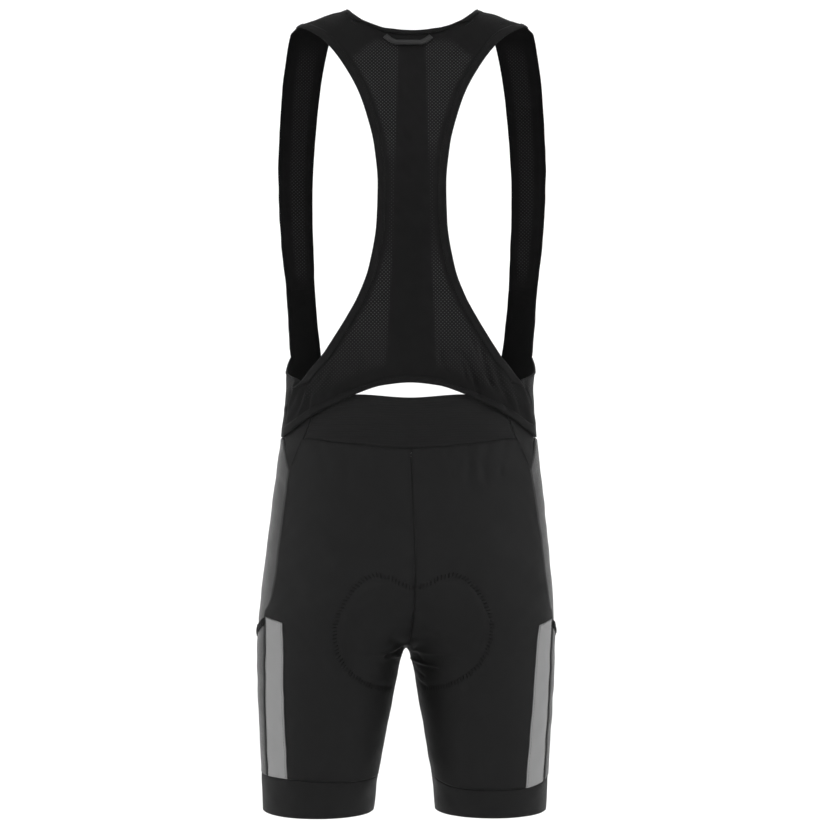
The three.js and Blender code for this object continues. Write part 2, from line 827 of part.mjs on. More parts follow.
// What a millimetre along a level is worth as a side value.
const SIDE_STEP = 0.02;
const sidePerMm = (side, z) =>
  SIDE_STEP / surface(side, z).distanceTo(surface(side + SIDE_STEP, z));
const scoopSide = edgeSide(SCOOP_SIDE, FRONT);
function frontBibShares(z) {
  const from = scoopSide(z);
  const to = frontBibOuter(z);
  const inner = (SCOOP_BAND * sidePerMm(from, z)) / (to - from);
  const outer = (ARMHOLE_BAND * sidePerMm(to - SIDE_STEP, z)) / (to - from);
  return [0, ...steps(inner, 1 - outer, 5), 1];
}
const frontBibGrid = (() => {
  const upper = [STRAP_SEAM, -330, -350, -368, -380, armholeTurn, -395, ARMHOLE_SIDE, -408];
  const levels = [...upper, ...bibSeamLevels, ARCH_END];
  const rows = levels.filter((z, i) => i === 0 || z < levels[i - 1] - 1);
  const last = rows[rows.length - 1];
  return trim(
    rows.map((level) =>
      frontBibShares(level).map((share) => {
        const side = mix(scoopSide(level), frontBibOuter(level), share);
        const rise = (waistSeam(side) - last) * ramp(level, last + FADE.frontBib, last);
        const z = level + Math.max(0, rise);
        return surface(mix(scoopSide(z), frontBibOuter(z), share), z);
      }),
    ),
  );
})();

const frontPanelGrid = trim(
  panel({
    levels: [
      SCOOP_CENTRE,
      SCOOP_CENTRE - SCOOP_BAND,
      ...between(ROW_LEVELS, SCOOP_CENTRE - SCOOP_BAND, GRIPPER_SEAM),
    ],
    shares: even(8),
    place: surface,
    left: () => -1,
    right: frontSeam,
    top: byX(SCOOP_FRONT),
    topFade: FADE.scoop,
  }),
);

const waistbandGrid = trim(
  panel({
    levels: [-434, -446, -458, -468, -479, WAIST_SEAM],
    shares: even(20),
    place: (x, z) => trunkPoint(x, z, BACK),
    left: (z) => -bandOuter(z),
    right: bandOuter,
    top: byX(BAND_TOP),
    bottom: byX(BAND_SEAM),
    topFade: FADE.bandTop,
    bottomFade: FADE.bandSeam,
  }),
);

const wingGrid = trim(
  panel({
    levels: [-433, -446, -458, -467, -474, -481, -490, -501, -513],
    shares: even(3),
    place: surface,
    left: edgeSide(WING_OUTER, BACK),
    right: edgeSide(WING_INNER, BACK),
  }),
);

// The back panel's inner columns fan out from a line that passes the stripe's top
// smoothly, where the panel's own edge steps in. Two more columns fill the step.
const BACK_COLUMNS = 8;
const backFan = edgeSide(BACK_FAN, BACK);
function backShares(z) {
  const edge = backSeam(z);
  const fan = steps(0, 1, BACK_COLUMNS).map((share) => {
    const side = mix(backFan(z), 1, share);
    return (side - edge) / (1 - edge);
  });
  return [0, fan[1] / 3, (2 * fan[1]) / 3, ...fan.slice(1)];
}
const backPanelGrid = trim(
  panel({
    levels: ROW_LEVELS,
    shares: backShares,
    place: surface,
    left: backSeam,
    right: () => 1,
    top: byX(BAND_SEAM),
    topFade: FADE.backTop,
  }),
);

// The side panel's back edge: the back seam, then the stripe's outer edge. Its top edge is
// where each column meets the waist seam, which dips along the wedge's outer edge.
const sideBack = (z) => (z > STRIPE_OUTER[0].z ? backSeam(z) : stripeOuter(z));
const SIDE_TOP = -479;
const SIDE_COLUMNS = 12;
const WAIST_SPAN = { low: -520, high: -470 };
const sideColumns = steps(0, 1, SIDE_COLUMNS).map((share) => {
  const sideFor = (z) => mix(frontSeam(z), sideBack(z), share);
  const above = (z) => waistSeam(sideFor(z)) - z;
  return { sideFor, drop: crossing(above, WAIST_SPAN.low, WAIST_SPAN.high) - SIDE_TOP };
});
const sideGrid = trim(
  [SIDE_TOP, -486, -495, ...between(ROW_LEVELS, -503, GRIPPER_SEAM)].map((level) =>
    sideColumns.map(({ sideFor, drop }) => {
      const z = level + drop * ramp(level, SIDE_TOP - FADE.sideTop, SIDE_TOP);
      return surface(sideFor(z), z);
    }),
  ),
);

const stripeGrid = trim(
  panel({
    levels: [-684, ...between(ROW_LEVELS, -686, GRIPPER_SEAM)],
    shares: even(2),
    place: surface,
    left: stripeOuter,
    right: backSeam,
    top: byX(STRIPE_TOP),
    topFade: FADE.stripeTop,
  }),
);

// The pocket lies on the side panel, from a groove beside the stripe to the front seam.
const pocketTop = curve(POCKET_TOP, "round", "z");
function pocketPoint(round, z) {
  const groove = POCKET_GROOVE * sidePerMm(sideBack(z) - SIDE_STEP, z);
  return surface(mix(sideBack(z) - groove, frontSeam(z) + groove, round), z);
}
const pocketGrid = trim(
  [0, 0.06, 0.16, 0.3, 0.46, 0.64, 0.82, 1].map((down) =>
    steps(0, 1, 8).map((round) => pocketPoint(round, mix(pocketTop(round), GRIPPER_SEAM, down))),
  ),
);

// The pocket's elastic: a narrow strip above the opening, gathered into waves.
const STEPS_A_WAVE = 4;
const elasticGrid = trim(
  [1, 0.5, 0].map((up) =>
    steps(0, 1, ELASTIC_WAVES * STEPS_A_WAVE).map((round) =>
      pocketPoint(round, pocketTop(round) + ELASTIC_HEIGHT * up),
    ),
  ),
);
function elasticWave(row, column) {
  const phase = (column / STEPS_A_WAVE) * 2 * Math.PI;
  const crest = row === 1 ? 1 : 0.45;
  return (ELASTIC_WAVE_DEPTH * crest * (1 - Math.cos(phase))) / 2;
}

const GRIPPER_COLUMNS = 36;
const gripperGrid = [GRIPPER_SEAM - SEAM_GAP, -875, HEM].map((z) =>
  Array.from({ length: GRIPPER_COLUMNS }, (_, i) => surface(mix(-1, 1, i / GRIPPER_COLUMNS), z)),
);

// Bindings lie on their panels' own points: the outer columns, or the top or bottom rows.
const flip = (pairs) => [...pairs].reverse();
const toLeft = (pairs) => pairs.map((pair) => pair.map((p) => new THREE.Vector3(-p.x, p.y, p.z)));

const bibArmhole = bibRight.filter((pair) => pair[1].z > ARMHOLE_BOTTOM - ARMHOLE_BAND);
const frontArmhole = [...strapGrid, ...frontBibGrid]
  .map((row) => row.slice(-2))
  .filter((pair) => pair[1].z > ARMHOLE_BOTTOM - ARMHOLE_BAND);

const neckFirst = BIB_COLUMNS + 1 - NECK_COLUMNS;
const neckLast = BIB_COLUMNS + 1 + NECK_COLUMNS;
const neckRows = bibGrid.slice(0, 3).map((row) => row.slice(neckFirst, neckLast + 1));

const scoopRight = [
  ...strapGrid.map((row) => row.slice(0, 2)),
  ...frontBibGrid.map((row) => row.slice(0, 2)),
  ...flip(frontPanelGrid[0].map((point, i) => [point, frontPanelGrid[1][i]])).filter(
    (pair) => pair[0].x < SCOOP_FRONT[3].x - 1,
  ),
];
const scoopPairs = [...scoopRight, ...flip(toLeft(scoopRight))];

add("back_bib", sheet(bibGrid, PLAIN), finish.mesh);
addPair("strap", strapGrid, PLAIN, finish.mesh);
addPair("front_bib", frontBibGrid, PLAIN, finish.main);
add("waistband_back", sheet(waistbandGrid, TUCKED), finish.waist);
addPair("wing", wingGrid, TUCKED, finish.main);
addPair("back", backPanelGrid, PLAIN, finish.main);
addPair("side", sideGrid, PLAIN, finish.side);
addPair("front", frontPanelGrid, PLAIN, finish.main);
addPair("stripe", stripeGrid, PLAIN, finish.stripe);
addPair("pocket", pocketGrid, APPLIED, finish.side);
addPair("pocket_elastic", elasticGrid, { ...APPLIED, wave: elasticWave }, finish.band);
addPair("gripper", gripperGrid, { ...PLAIN, ring: true }, finish.band);
addPair("armhole_binding_back", bibArmhole, APPLIED, finish.band);
addPair("armhole_binding_front", frontArmhole, APPLIED, finish.band);
add("neck_binding", sheet(neckRows, CURVED), finish.band);
add("arch_binding", sheet(bibGrid.slice(-2), CURVED), finish.band);
add("scoop_binding", sheet(scoopPairs, APPLIED), finish.band);
const loopLine = LOOP_LINE.map(({ x, z }) => trunkPoint(x, z, BACK));
add("hang_loop", sheet(tape(loopLine, LOOP_TAPE), APPLIED), finish.band);

export default garment;
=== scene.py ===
"""Cycling bib shorts, dressed: knit panels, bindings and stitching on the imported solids.

Sizes are millimetres until a mesh is made. +Z is up, the photographed back faces -Y, and the
garment is described for its right half (+X), mirrored, then leant and turned by pose().
"""

import math

import bpy
import numpy as np
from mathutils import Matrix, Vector


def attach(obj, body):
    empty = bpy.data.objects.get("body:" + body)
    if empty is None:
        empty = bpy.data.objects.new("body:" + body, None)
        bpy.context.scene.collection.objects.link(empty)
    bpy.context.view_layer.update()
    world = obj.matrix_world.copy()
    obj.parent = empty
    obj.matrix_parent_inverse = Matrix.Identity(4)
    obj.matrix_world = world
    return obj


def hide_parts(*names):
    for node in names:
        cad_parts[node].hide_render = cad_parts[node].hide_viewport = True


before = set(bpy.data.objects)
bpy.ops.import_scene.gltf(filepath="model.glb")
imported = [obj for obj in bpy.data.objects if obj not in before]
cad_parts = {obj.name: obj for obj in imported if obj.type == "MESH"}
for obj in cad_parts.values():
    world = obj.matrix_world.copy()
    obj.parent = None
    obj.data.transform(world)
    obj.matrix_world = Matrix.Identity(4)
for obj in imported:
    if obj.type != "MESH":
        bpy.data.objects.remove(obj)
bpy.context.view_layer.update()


def rows(columns, *values):
    """A table: one dict a row, with the named columns."""
    names = columns.split()
    return [dict(zip(names, row)) for row in values]


# The cloth's layers and strips, as in the solids
WALL = 1.2
TUCK = 2.1
APPLIED_GAP = 0.4
CURVED_GAP = 0.9
BAND_WALL = 0.9
ARMHOLE_BAND = 9
ARMHOLE_BAND_ACROSS = 16
ARCH_BAND = 7.5
NECK_BAND = 5
SCOOP_BAND = 6
LOOP_TAPE = 6
ELASTIC_HEIGHT = 9
ELASTIC_WAVES = 9
POCKET_GROOVE = 2.8

# Seams here are nearly closed, and the cloth dips beside them. A binding's edges are rounded.
SEAM_GAP = 0.04
SEAM_DIP = 0.9
BAND_ROUND = 0.3
BAND_DIP = 0.1
STRIPE_DIP = 0.25
MM = 0.001

# Levels
NECK_TOP = -0.5
NECK_CENTRE = -30
STRAP_SEAM = -310
ARCH_CENTRE = -418
ARCH_END = -478
WAIST_SEAM = -489
SCOOP_CENTRE = -502
TRUNK_ENDS = -632
CROTCH = -713
THIGH_ENDS = -800
GRIPPER_SEAM = -855
HEM = -894
ARMHOLE_BOTTOM = -415
ARMHOLE_SIDE = -402

# The shoulder's ridge, along which the back bib and the strap meet
RIDGE_IN = (73.5, NECK_TOP)
RIDGE_OUT = (129.5, -19)
RIDGE_SLOPE = (RIDGE_OUT[0] - RIDGE_IN[0]) / (RIDGE_IN[1] - RIDGE_OUT[1])
RIDGE_FOOT = -30
TRUNK_POWER = 2.4
TRUNK_RIM = 0.9999

# How the cloth is meshed: the longest step between rows, the steps across a band, how far
# inside an edge the extra loop lies, and the most of a first step that trimming may take.
ROW_PITCH = 3
CLOSE_PITCH = 2
FINE_PITCH = 1.5
BAND_STEPS = 5
EDGE_LOOP = 0.9
LARGEST_LOOP = 0.5
LARGEST_TRIM = 0.4

TRUNK = rows(
    "z half back front axis",
    (0, 72, 6, 6, 20),
    (-3, 81, 20, 19, 22),
    (-8, 96, 31, 29, 25),
    (-18, 126, 42, 38, 30),
    (-30, 162.8, 51, 46, 36),
    (-44, 186, 58, 55, 40),
    (-75, 190, 70, 70, 42),
    (-110, 182, 84, 86, 43),
    (-150, 171, 94, 99, 44),
    (-180, 166, 100, 105, 44),
    (-230, 160, 101, 108, 44),
    (-280, 155, 97, 107, 44),
    (-330, 148, 93, 105, 44),
    (-380, 140.5, 93, 104, 45),
    (-423, 138.5, 95, 104, 47),
    (-476, 143, 97, 105, 52),
    (-542, 151, 104, 105, 60),
    (-569, 154, 109, 104, 66),
    (-610, 158.5, 120, 102, 76),
    (-660, 163.5, 119, 96, 82),
    (-713, 166, 99, 87, 83),
    (-760, 165.2, 90, 84, 83),
    (-800, 163, 84, 80, 83),
)
LEG = rows(
    "z inner outer back front",
    (-632, 0, 161, 116, 99),
    (-660, 0, 163.5, 112, 94),
    (-713, 0, 166, 98, 86),
    (-716, 2.6, 166, 97.3, 85.7),
    (-723, 5.2, 166, 95.5, 85),
    (-737, 8.6, 165.8, 92, 84),
    (-771, 14.6, 164.5, 87, 82),
    (-799, 20, 163, 84, 80),
    (-833, 26, 161, 81, 78),
    (-865, 31.3, 159.8, 79, 76.5),
    (-894, 34, 158.5, 78, 76),
)
BIB_EDGE = rows(
    "x z",
    RIDGE_OUT,
    (110, -30),
    (93.7, -44),
    (76.3, -67),
    (59.4, -98),
    (50.2, -124),
    (41.2, -161),
    (37.3, -203),
    (38.4, -242),
    (47, -293),
    (58.7, -324),
    (72, -348),
    (87, -372),
    (98.5, -389),
    (110.5, -403),
    (120, -415),
    (131, -428),
    (137, -450),
    (140, ARCH_END),
)
BIB_TOP = rows(
    "x z", (0, NECK_CENTRE), (28, -27.5), (53, -18), (66, -8), RIDGE_IN, RIDGE_OUT
)
ARCH = rows(
    "x z",
    (0, ARCH_CENTRE),
    (30, -421),
    (58, -430),
    (84, -442),
    (110, -456),
    (128, -469),
    (140, ARCH_END),
)
STRAP_INNER = rows(
    "x z",
    RIDGE_IN,
    (84, -12),
    (91.5, -25),
    (96.5, -40),
    (103, -70),
    (107.5, -100),
    (112.5, -150),
    (114.8, -190),
    (115, -220),
    (113.6, -265),
    (112, STRAP_SEAM),
)
STRAP_OUTER = rows(
    "x z",
    RIDGE_OUT,
    (137, -25),
    (144, -55),
    (148, -84),
    (151, -129),
    (152.4, -170),
    (151, -220),
    (147.7, -266),
    (142.5, STRAP_SEAM),
)
SCOOP_SIDE = rows(
    "x z", (112, STRAP_SEAM), (108.5, -350), (104, -388), (99, -420), (90, -450), (78, -474)
)
ARMHOLE_FRONT = rows("x z", (142.5, STRAP_SEAM), (139, -358), (136.5, -388))
SCOOP_FRONT = rows(
    "x z", (0, SCOOP_CENTRE), (30, -499), (56, -490), (78, -474), (120, -476), (146, -479)
)
BAND_TOP = rows("x z", (0, -434), (58, -430.5), (112, -433))
BAND_SEAM = rows("x z", (0, WAIST_SEAM), (78, -483), (112, -479), (120, -480))
BAND_OUTER = rows("x z", (104, -433), (110.5, -458), (113.5, -467), (118.5, -481))
WING_INNER = BAND_OUTER + rows("x z", (123.5, -493), (129.3, -506), (132.3, -513))
WING_OUTER = rows(
    "x z", (124, -433), (134.5, -458), (140.2, -481), (138.9, -490), (136.8, -501), (133.2, -513)
)
BACK_SEAM = rows(
    "x z",
    (118.5, -481),
    (123.5, -493),
    (129.3, -506),
    (133, -514),
    (137.4, -540),
    (141.6, -571),
    (147, -616),
    (149.4, -636),
    (155, -663),
    (159.4, -675),
    (158.4, -679),
    (141.5, -684),
    (137, -770),
    (131, GRIPPER_SEAM),
)
BACK_FAN = rows(
    "x z",
    (118.5, -481),
    (129.5, -514),
    (137, -571),
    (141.5, -640),
    (140.4, -700),
    (131, GRIPPER_SEAM),
)
STRIPE_OUTER = rows(
    "x z", (159.4, -675), (158.8, -679), (156.6, -770), (152.5, GRIPPER_SEAM)
)
STRIPE_TOP = rows("x z", (141, -684), (159.2, -679))
FRONT_SEAM = rows(
    "x z",
    (120, -476),
    (131, -571),
    (138, -640),
    (141, CROTCH),
    (139, -780),
    (136, GRIPPER_SEAM),
)
POCKET_TOP = rows("round z", (0, -689), (0.45, -704), (1, -722))
LEAN = rows(
    "z x",
    (-894, -8.4),
    (-770, -7.2),
    (-640, -5.6),
    (-560, -4.4),
    (-435, -2.9),
    (-380, -0.7),
    (-200, 0),
)
TURN = rows("z degrees", (-894, 1.5), (-760, 3), (-660, 4.5), (-610, 4), (-490, 1.5), (-400, 0))
# How far the cloth has slid up the left leg's outer side and down the right leg's back.
SLIDE = rows(
    "z left right",
    (HEM, 0, 0),
    (GRIPPER_SEAM, 3.6, -8),
    (-800, 3.8, 0),
    (-690, 4.2, 0),
    (-640, 0, 0),
)
# Where those slides set in: millimetres from the middle, and behind the middle's depth.
OUTER_SIDE = (60, 140)
LEG_BACK = (5, 75)
# The middle line of the hang loop's tape
LOOP_LINE = rows(
    "x z",
    (-29.5, -36.4),
    (-24.5, -41),
    (-18, -44.8),
    (-4, -45),
    (10, -44.8),
    (16, -41.4),
    (21, -37),
)

BACK = -1
FRONT = 1

# Steps of the searches, and the small steps that slopes are measured over
SEARCH_STEPS = 26
SETTLE_STEPS = 10
NORMAL_STEP = 0.5
SIDE_STEP = 0.02
LEVEL_STEP = 0.5
END_LEVEL_STEP = 0.25
TINY = 1e-6


def mix(a, b, share):
    return a + (b - a) * share


def ramp(value, start, end):
    return np.clip((value - start) / (end - start), 0, 1)


def smooth(value, start, end):
    t = ramp(value, start, end)
    return t * t * (3 - 2 * t)


def curve(table, key, column):
    """A smooth curve through a table's rows that never overshoots them."""
    ordered = sorted(table, key=lambda row: row[key])
    at = np.array([row[key] for row in ordered], float)
    value = np.array([row[column] for row in ordered], float)
    rise = np.diff(value) / np.diff(at)
    slope = np.concatenate([rise[:1], np.zeros(len(at) - 2), rise[-1:]])
    product = rise[:-1] * rise[1:]
    total = np.where(product > 0, rise[:-1] + rise[1:], 1)
    slope[1:-1] = np.where(product > 0, 2 * product / total, 0)

    def read(where):
        k = np.clip(where, at[0], at[-1])
        i = np.clip(np.searchsorted(at, k) - 1, 0, len(at) - 2)
        span = at[i + 1] - at[i]
        f = (k - at[i]) / span
        square, cube = f**2, f**3
        start = value[i] * (2 * cube - 3 * square + 1) + slope[i] * span * (cube - 2 * square + f)
        end = value[i + 1] * (3 * square - 2 * cube) + slope[i + 1] * span * (cube - square)
        return start + end

    return read


def crossing(fall, low, high):
    """Where a falling function passes zero between low and high, for arrays."""
    for _ in range(SEARCH_STEPS):
        middle = (low + high) / 2
        above = fall(middle) > 0
        low = np.where(above, middle, low)
        high = np.where(above, high, middle)
    return (low + high) / 2


def curves(table, key, columns):
    return [curve(table, key, column) for column in columns.split()]


lower_half, trunk_back, trunk_front, trunk_axis = curves(TRUNK, "z", "half back front axis")
leg_inner, leg_outer, leg_back, leg_front = curves(LEG, "z", "inner outer back front")


def half_width(z):
    return np.where(
        z > RIDGE_FOOT, RIDGE_IN[0] + (RIDGE_IN[1] - z) * RIDGE_SLOPE, lower_half(z)
    )


def axis_at(z):
    return np.where(z > CROTCH, trunk_axis(z), (leg_inner(z) + leg_outer(z)) / 2)


def trunk_reach(angle, z):
    across, deep = np.cos(angle), np.abs(np.sin(angle))
    half = half_width(z)
    depth = np.where(angle >= 0, trunk_back(z), trunk_front(z))
    axis = axis_at(z)

    def spare(reached):
        wide = (np.abs(axis + reached * across) / half) ** TRUNK_POWER
        return 1 - wide - (reached * deep / depth) ** TRUNK_POWER

    return crossing(spare, np.zeros_like(half + angle), 2 * (half + depth))


def leg_reach(angle, z):
    wide = leg_outer(z) - axis_at(z)
    deep = np.where(angle >= 0, leg_back(z), leg_front(z))
    return 1 / np.hypot(np.cos(angle) / wide, np.sin(angle) / deep)


# Degrees from the outer side between which the leg's blend changes, and how softly the
# inner one starts, in millimetres of height.
BLEND_FROM, BLEND_TO = 50, 130
SOFT_FROM, SOFT_TO = 120, 175
SOFT_START = 14


def reach(angle, z):
    """From the axis of its half, how far the surface lies at an angle from the outer side."""
    turned = np.degrees(np.abs(angle))
    soft = SOFT_START * (1 - smooth(turned, SOFT_FROM, SOFT_TO)) + TINY
    above = z - CROTCH
    rounded = np.where(np.abs(above) < soft, (above + soft) ** 2 / (4 * soft), above)
    inner_share = np.clip(rounded / (TRUNK_ENDS - CROTCH), 0, 1)
    outer_share = smooth(z, THIGH_ENDS, TRUNK_ENDS)
    share = mix(outer_share, inner_share, smooth(turned, BLEND_FROM, BLEND_TO))
    return mix(leg_reach(angle, z), trunk_reach(angle, z), share)


END_LEVELS = np.arange(CROTCH, 0, END_LEVEL_STEP)


def end_table(face):
    """The angle at which each level of the right half crosses x = 0."""
    sign = -face

    def x(angle):
        return axis_at(END_LEVELS) + reach(sign * angle, END_LEVELS) * np.cos(angle)

    start = np.full(len(END_LEVELS), math.pi / 2)
    return crossing(x, start, start * 2)


END_TABLES = {face: end_table(face) for face in (BACK, FRONT)}


def end_angle(z, face):
    """The angle at which the right half ends: at x = 0, or at the inseam on the leg."""
    return np.where(z <= CROTCH, math.pi, np.interp(z, END_LEVELS, END_TABLES[face]))


def surface(side, z):
    """A point of the right half: side 0 is outermost, 1 centre back, -1 centre front."""
    side, z = np.broadcast_arrays(np.asarray(side, float), np.asarray(z, float))
    angle = side * np.where(side >= 0, end_angle(z, BACK), end_angle(z, FRONT))
    distance = reach(angle, z)
    x = axis_at(z) + distance * np.cos(angle)
    return np.stack([x, -distance * np.sin(angle), z], axis=-1)


def side_at(x, z, face):
    """The side value of the point that lies at x on the back or on the front."""
    x, z = np.broadcast_arrays(np.asarray(x, float), np.asarray(z, float))
    sign = -face

    def beyond(side):
        return surface(sign * side, z)[..., 0] - x

    return sign * crossing(beyond, np.zeros(x.shape), np.ones(x.shape))


def trunk_point(x, z, face):
    """The point of the trunk's back or front at x, for pieces that cross the middle."""
    x, z = np.broadcast_arrays(np.asarray(x, float), np.asarray(z, float))
    ratio = np.abs(x) / half_width(z)
    share = np.where(ratio > TRUNK_RIM, 1, ratio)
    depth = trunk_back(z) if face == BACK else trunk_front(z)
    y = face * depth * (1 - share**TRUNK_POWER) ** (1 / TRUNK_POWER)
    return np.stack([x, y, z], axis=-1)


def outness(x, y, z):
    """How far out a point is, against the surface at its angle and level: 1 is on it."""
    across = np.abs(x) - axis_at(z)
    return np.hypot(across, y) / reach(np.arctan2(-y, across), z)


def outward(points):
    """The surface's unit normals."""
    x, y, z = points[..., 0], points[..., 1], points[..., 2]
    h = NORMAL_STEP
    slopes = [
        outness(x + h, y, z) - outness(x - h, y, z),
        outness(x, y + h, z) - outness(x, y - h, z),
        outness(x, y, z + h) - outness(x, y, z - h),
    ]
    normal = np.stack(slopes, axis=-1)
    return normal / np.linalg.norm(normal, axis=-1, keepdims=True)


def onto(points):
    """Moves points level with the floor, straight to or from their half's axis, onto the surface."""
    share = 1 / outness(points[..., 0], points[..., 1], points[..., 2])
    axis = axis_at(points[..., 2]) * np.where(points[..., 0] < 0, -1, 1)
    moved = points.copy()
    moved[..., 0] = axis + (points[..., 0] - axis) * share
    moved[..., 1] = points[..., 1] * share
    return moved


lean_at = curve(LEAN, "z", "x")
turn_at = curve(TURN, "z", "degrees")
slide_left, slide_right = curves(SLIDE, "z", "left right")


def pose(points):
    """Leans the garment, turns it about +Z and lets the cloth slide, as it hangs."""
    x, y, z = points[..., 0], points[..., 1], points[..., 2]
    outer = smooth(-x, *OUTER_SIDE)
    behind = np.where(x > 0, smooth(-y, *LEG_BACK), 0)
    slid = slide_left(z) * outer + slide_right(z) * behind
    angle = np.radians(turn_at(z))
    turned_x = x * np.cos(angle) - y * np.sin(angle) + lean_at(z)
    return np.stack([turned_x, x * np.sin(angle) + y * np.cos(angle), z + slid], axis=-1)


# Largest folds, as in the solids: a ridge along the line between two points seen from behind.
FOLDS = rows(
    "x z to_x to_z height spread",
    (44, -386, 62, -424, 1.6, 7),
    (66, -382, 96, -442, 2.4, 8),
    (100, -402, 116, -442, 2, 6),
    (124, -434, 134, -462, 1.6, 5),
    (-98, -414, -108, -446, 1.6, 7),
    (-20, -698, -6, -709, -2.2, 6),
)

# Creases: soft uneven ridges, or troughs where the height is negative. bend bows the line
# to one side.
CREASES = rows(
    "face x z to_x to_z height spread bend",
    (BACK, 33, -388, 39, -406, -1.4, 2.2, 1),
    (BACK, 47, -384, 60, -412, -1.3, 2, -2),
    (BACK, 54, -386, 74, -430, -1.9, 2.4, -3),
    (BACK, 66, -372, 90, -422, -1.6, 2.2, 3),
    (BACK, 76, -382, 106, -446, -2, 2.6, 4),
    (BACK, 93, -402, 112, -444, -1.7, 2.2, 2),
    (BACK, 110, -418, 124, -452, -1.3, 2, 1),
    (BACK, 124, -440, 131, -462, -1, 2, 1),
    (BACK, 84, -398, 96, -432, 1.1, 1.8, -1),
    (BACK, 60, -398, 68, -422, 1, 1.8, 1),
    (BACK, 118, -408, 133, -444, 1.1, 2, 1),
    (BACK, 126, -414, 137, -450, -1, 1.8, 1),
    (BACK, -103, -419, -111, -444, -1.6, 2.4, 2),
    (BACK, -94, -408, -101, -438, -1, 2.2, 2),
    (BACK, -118, -428, -131, -458, -1.4, 2.2, -2),
    (BACK, -112, -424, -122, -452, 1, 1.8, -1),
    (BACK, -116, -406, -132, -442, -1.1, 1.8, -1),
    (BACK, -124, -410, -137, -446, 1.3, 1.8, -1),
    (BACK, -131, -426, -139, -464, -1.1, 1.7, 0.6),
    (BACK, -84, -404, -92, -432, -0.7, 3, 2),
    (BACK, -58, -396, -66, -424, -0.5, 4, -2),
    (BACK, 40, -493, 44, -520, -0.7, 4, 1),
    (BACK, 62, -491, 60, -530, -1, 4.5, -2),
    (BACK, 84, -489, 80, -522, -0.8, 4, 2),
    (BACK, 103, -487, 98, -516, -0.8, 3.6, 1),
    (BACK, 73, -492, 71, -514, 0.6, 3.2, 1),
    (BACK, -44, -493, -47, -517, -0.5, 4, 1),
    (BACK, -72, -490, -70, -524, -0.6, 4.5, -2),
    (BACK, -98, -487, -92, -511, -0.5, 4, 1),
    (BACK, 8, -672, 30, -690, -0.8, 5, 3),
    (BACK, 4, -696, 28, -698, -0.8, 4, -3),
    (BACK, 7, -725.5, 33, -728.5, 1.2, 1.5, 0.6),
    (BACK, 9, -729.5, 30, -732, -1.1, 2.2, -0.5),
    (BACK, 9, -734, 17, -741, -0.7, 1.6, 0.5),
    (BACK, 9, -738, 15, -747, 0.5, 1.5, 0.5),
    (BACK, 10, -743, 19, -753, -0.6, 1.8, 0.5),
    (BACK, 8, -709, 15, -722, -0.6, 2, 1),
    (BACK, -2, -705, -27, -712, 1.5, 1.7, 0.8),
    (BACK, -5, -712.5, -24, -715.5, -3.8, 2.2, 0),
    (BACK, -27, -714.5, -9, -721, 0.9, 1.8, -0.8),
    (BACK, 26, -722, 66, -714, -0.6, 6, -4),
    (BACK, -30, -724, -70, -712, -0.5, 6, 4),
    (BACK, 34, -752, 52, -786, -0.4, 6, 3),
    (BACK, -36, -758, -50, -792, -0.5, 6, -3),
    (BACK, 60, -848, 96, -853, -0.5, 4, 2),
    (BACK, -58, -849, -102, -852, -0.5, 4, -2),
    (BACK, 140, -520, 136, -566, -0.5, 4, 2),
    (BACK, -142, -526, -139, -570, -0.6, 4, -2),
    (FRONT, 6, -628, 40, -672, -1.1, 6, 5),
    (FRONT, -5, -634, -42, -668, -1, 6, -4),
    (FRONT, 10, -664, 52, -690, -0.9, 5, 4),
    (FRONT, -12, -660, -56, -692, -1, 5, -5),
    (FRONT, 58, -640, 104, -612, -0.8, 7, 5),
    (FRONT, -60, -636, -108, -614, -0.9, 7, -4),
    (FRONT, 22, -716, 64, -708, -0.8, 5, 3),
    (FRONT, -20, -718, -66, -706, -0.8, 5, -3),
    (FRONT, 84, -478, 92, -512, -0.8, 4, 2),
    (FRONT, -86, -478, -92, -508, -0.7, 4, -2),
    (FRONT, 106, -480, 108, -522, -0.9, 4.5, -2),
    (FRONT, -108, -480, -106, -518, -0.8, 4.5, 2),
    (FRONT, 96, -440, 118, -470, -0.8, 4, 3),
    (FRONT, -98, -436, -120, -468, -0.8, 4, -3),
    (FRONT, 112, -398, 128, -424, -0.7, 3.4, 2),
    (FRONT, -113, -400, -128, -428, -0.7, 3.4, -2),
    (FRONT, 118, -318, 134, -334, -0.6, 3, 1),
    (FRONT, -118, -320, -133, -332, -0.6, 3, -1),
    (FRONT, 60, -846, 98, -852, -0.5, 4, 2),
    (FRONT, -62, -848, -100, -852, -0.5, 4, -2),
    (FRONT, 50, -764, 66, -800, -0.5, 7, 3),
    (FRONT, -52, -760, -68, -802, -0.5, 7, -3),
)

# Slow waves that keep a stretched panel from looking machined: height, and length in x and z.
WAVES = rows(
    "height across up phase",
    (0.16, 61, 47, 0.4),
    (0.12, -39, 31, 1.9),
    (0.08, 23, -27, 3.1),
    (0.05, 15, 19, 5.2),
)

# The seat pad's sewn outline on the right half, from the centre back down to the inseam,
# and on up the front.
PAD_BACK = rows(
    "x z",
    (0.5, -639.3),
    (7, -638.4),
    (14, -635.4),
    (24, -630),
    (36, -626),
    (48, -626.5),
    (60, -634),
    (71.5, -648),
    (81, -666),
    (85.5, -685),
    (82.5, -707),
    (73.5, -725),
    (59, -739),
    (40, -750),
    (18, -756),
)
PAD_FRONT = rows(
    "x z",
    (18, -756),
    (37, -745),
    (50, -722),
    (54, -692),
    (47, -658),
    (36, -628),
    (20, -606),
    (0.5, -599),
)
PAD_POINTS = {BACK: 160, FRONT: 120}
PAD_HEIGHT = 1.3
PAD_EDGE = 10
PAD_STITCH_DIP = 0.15
PAD_STITCH_SPREAD = 3.4
PAD_INSEAM_FADE = 16
PAD_ROOM = -590
POINTS_A_SPAN = 24


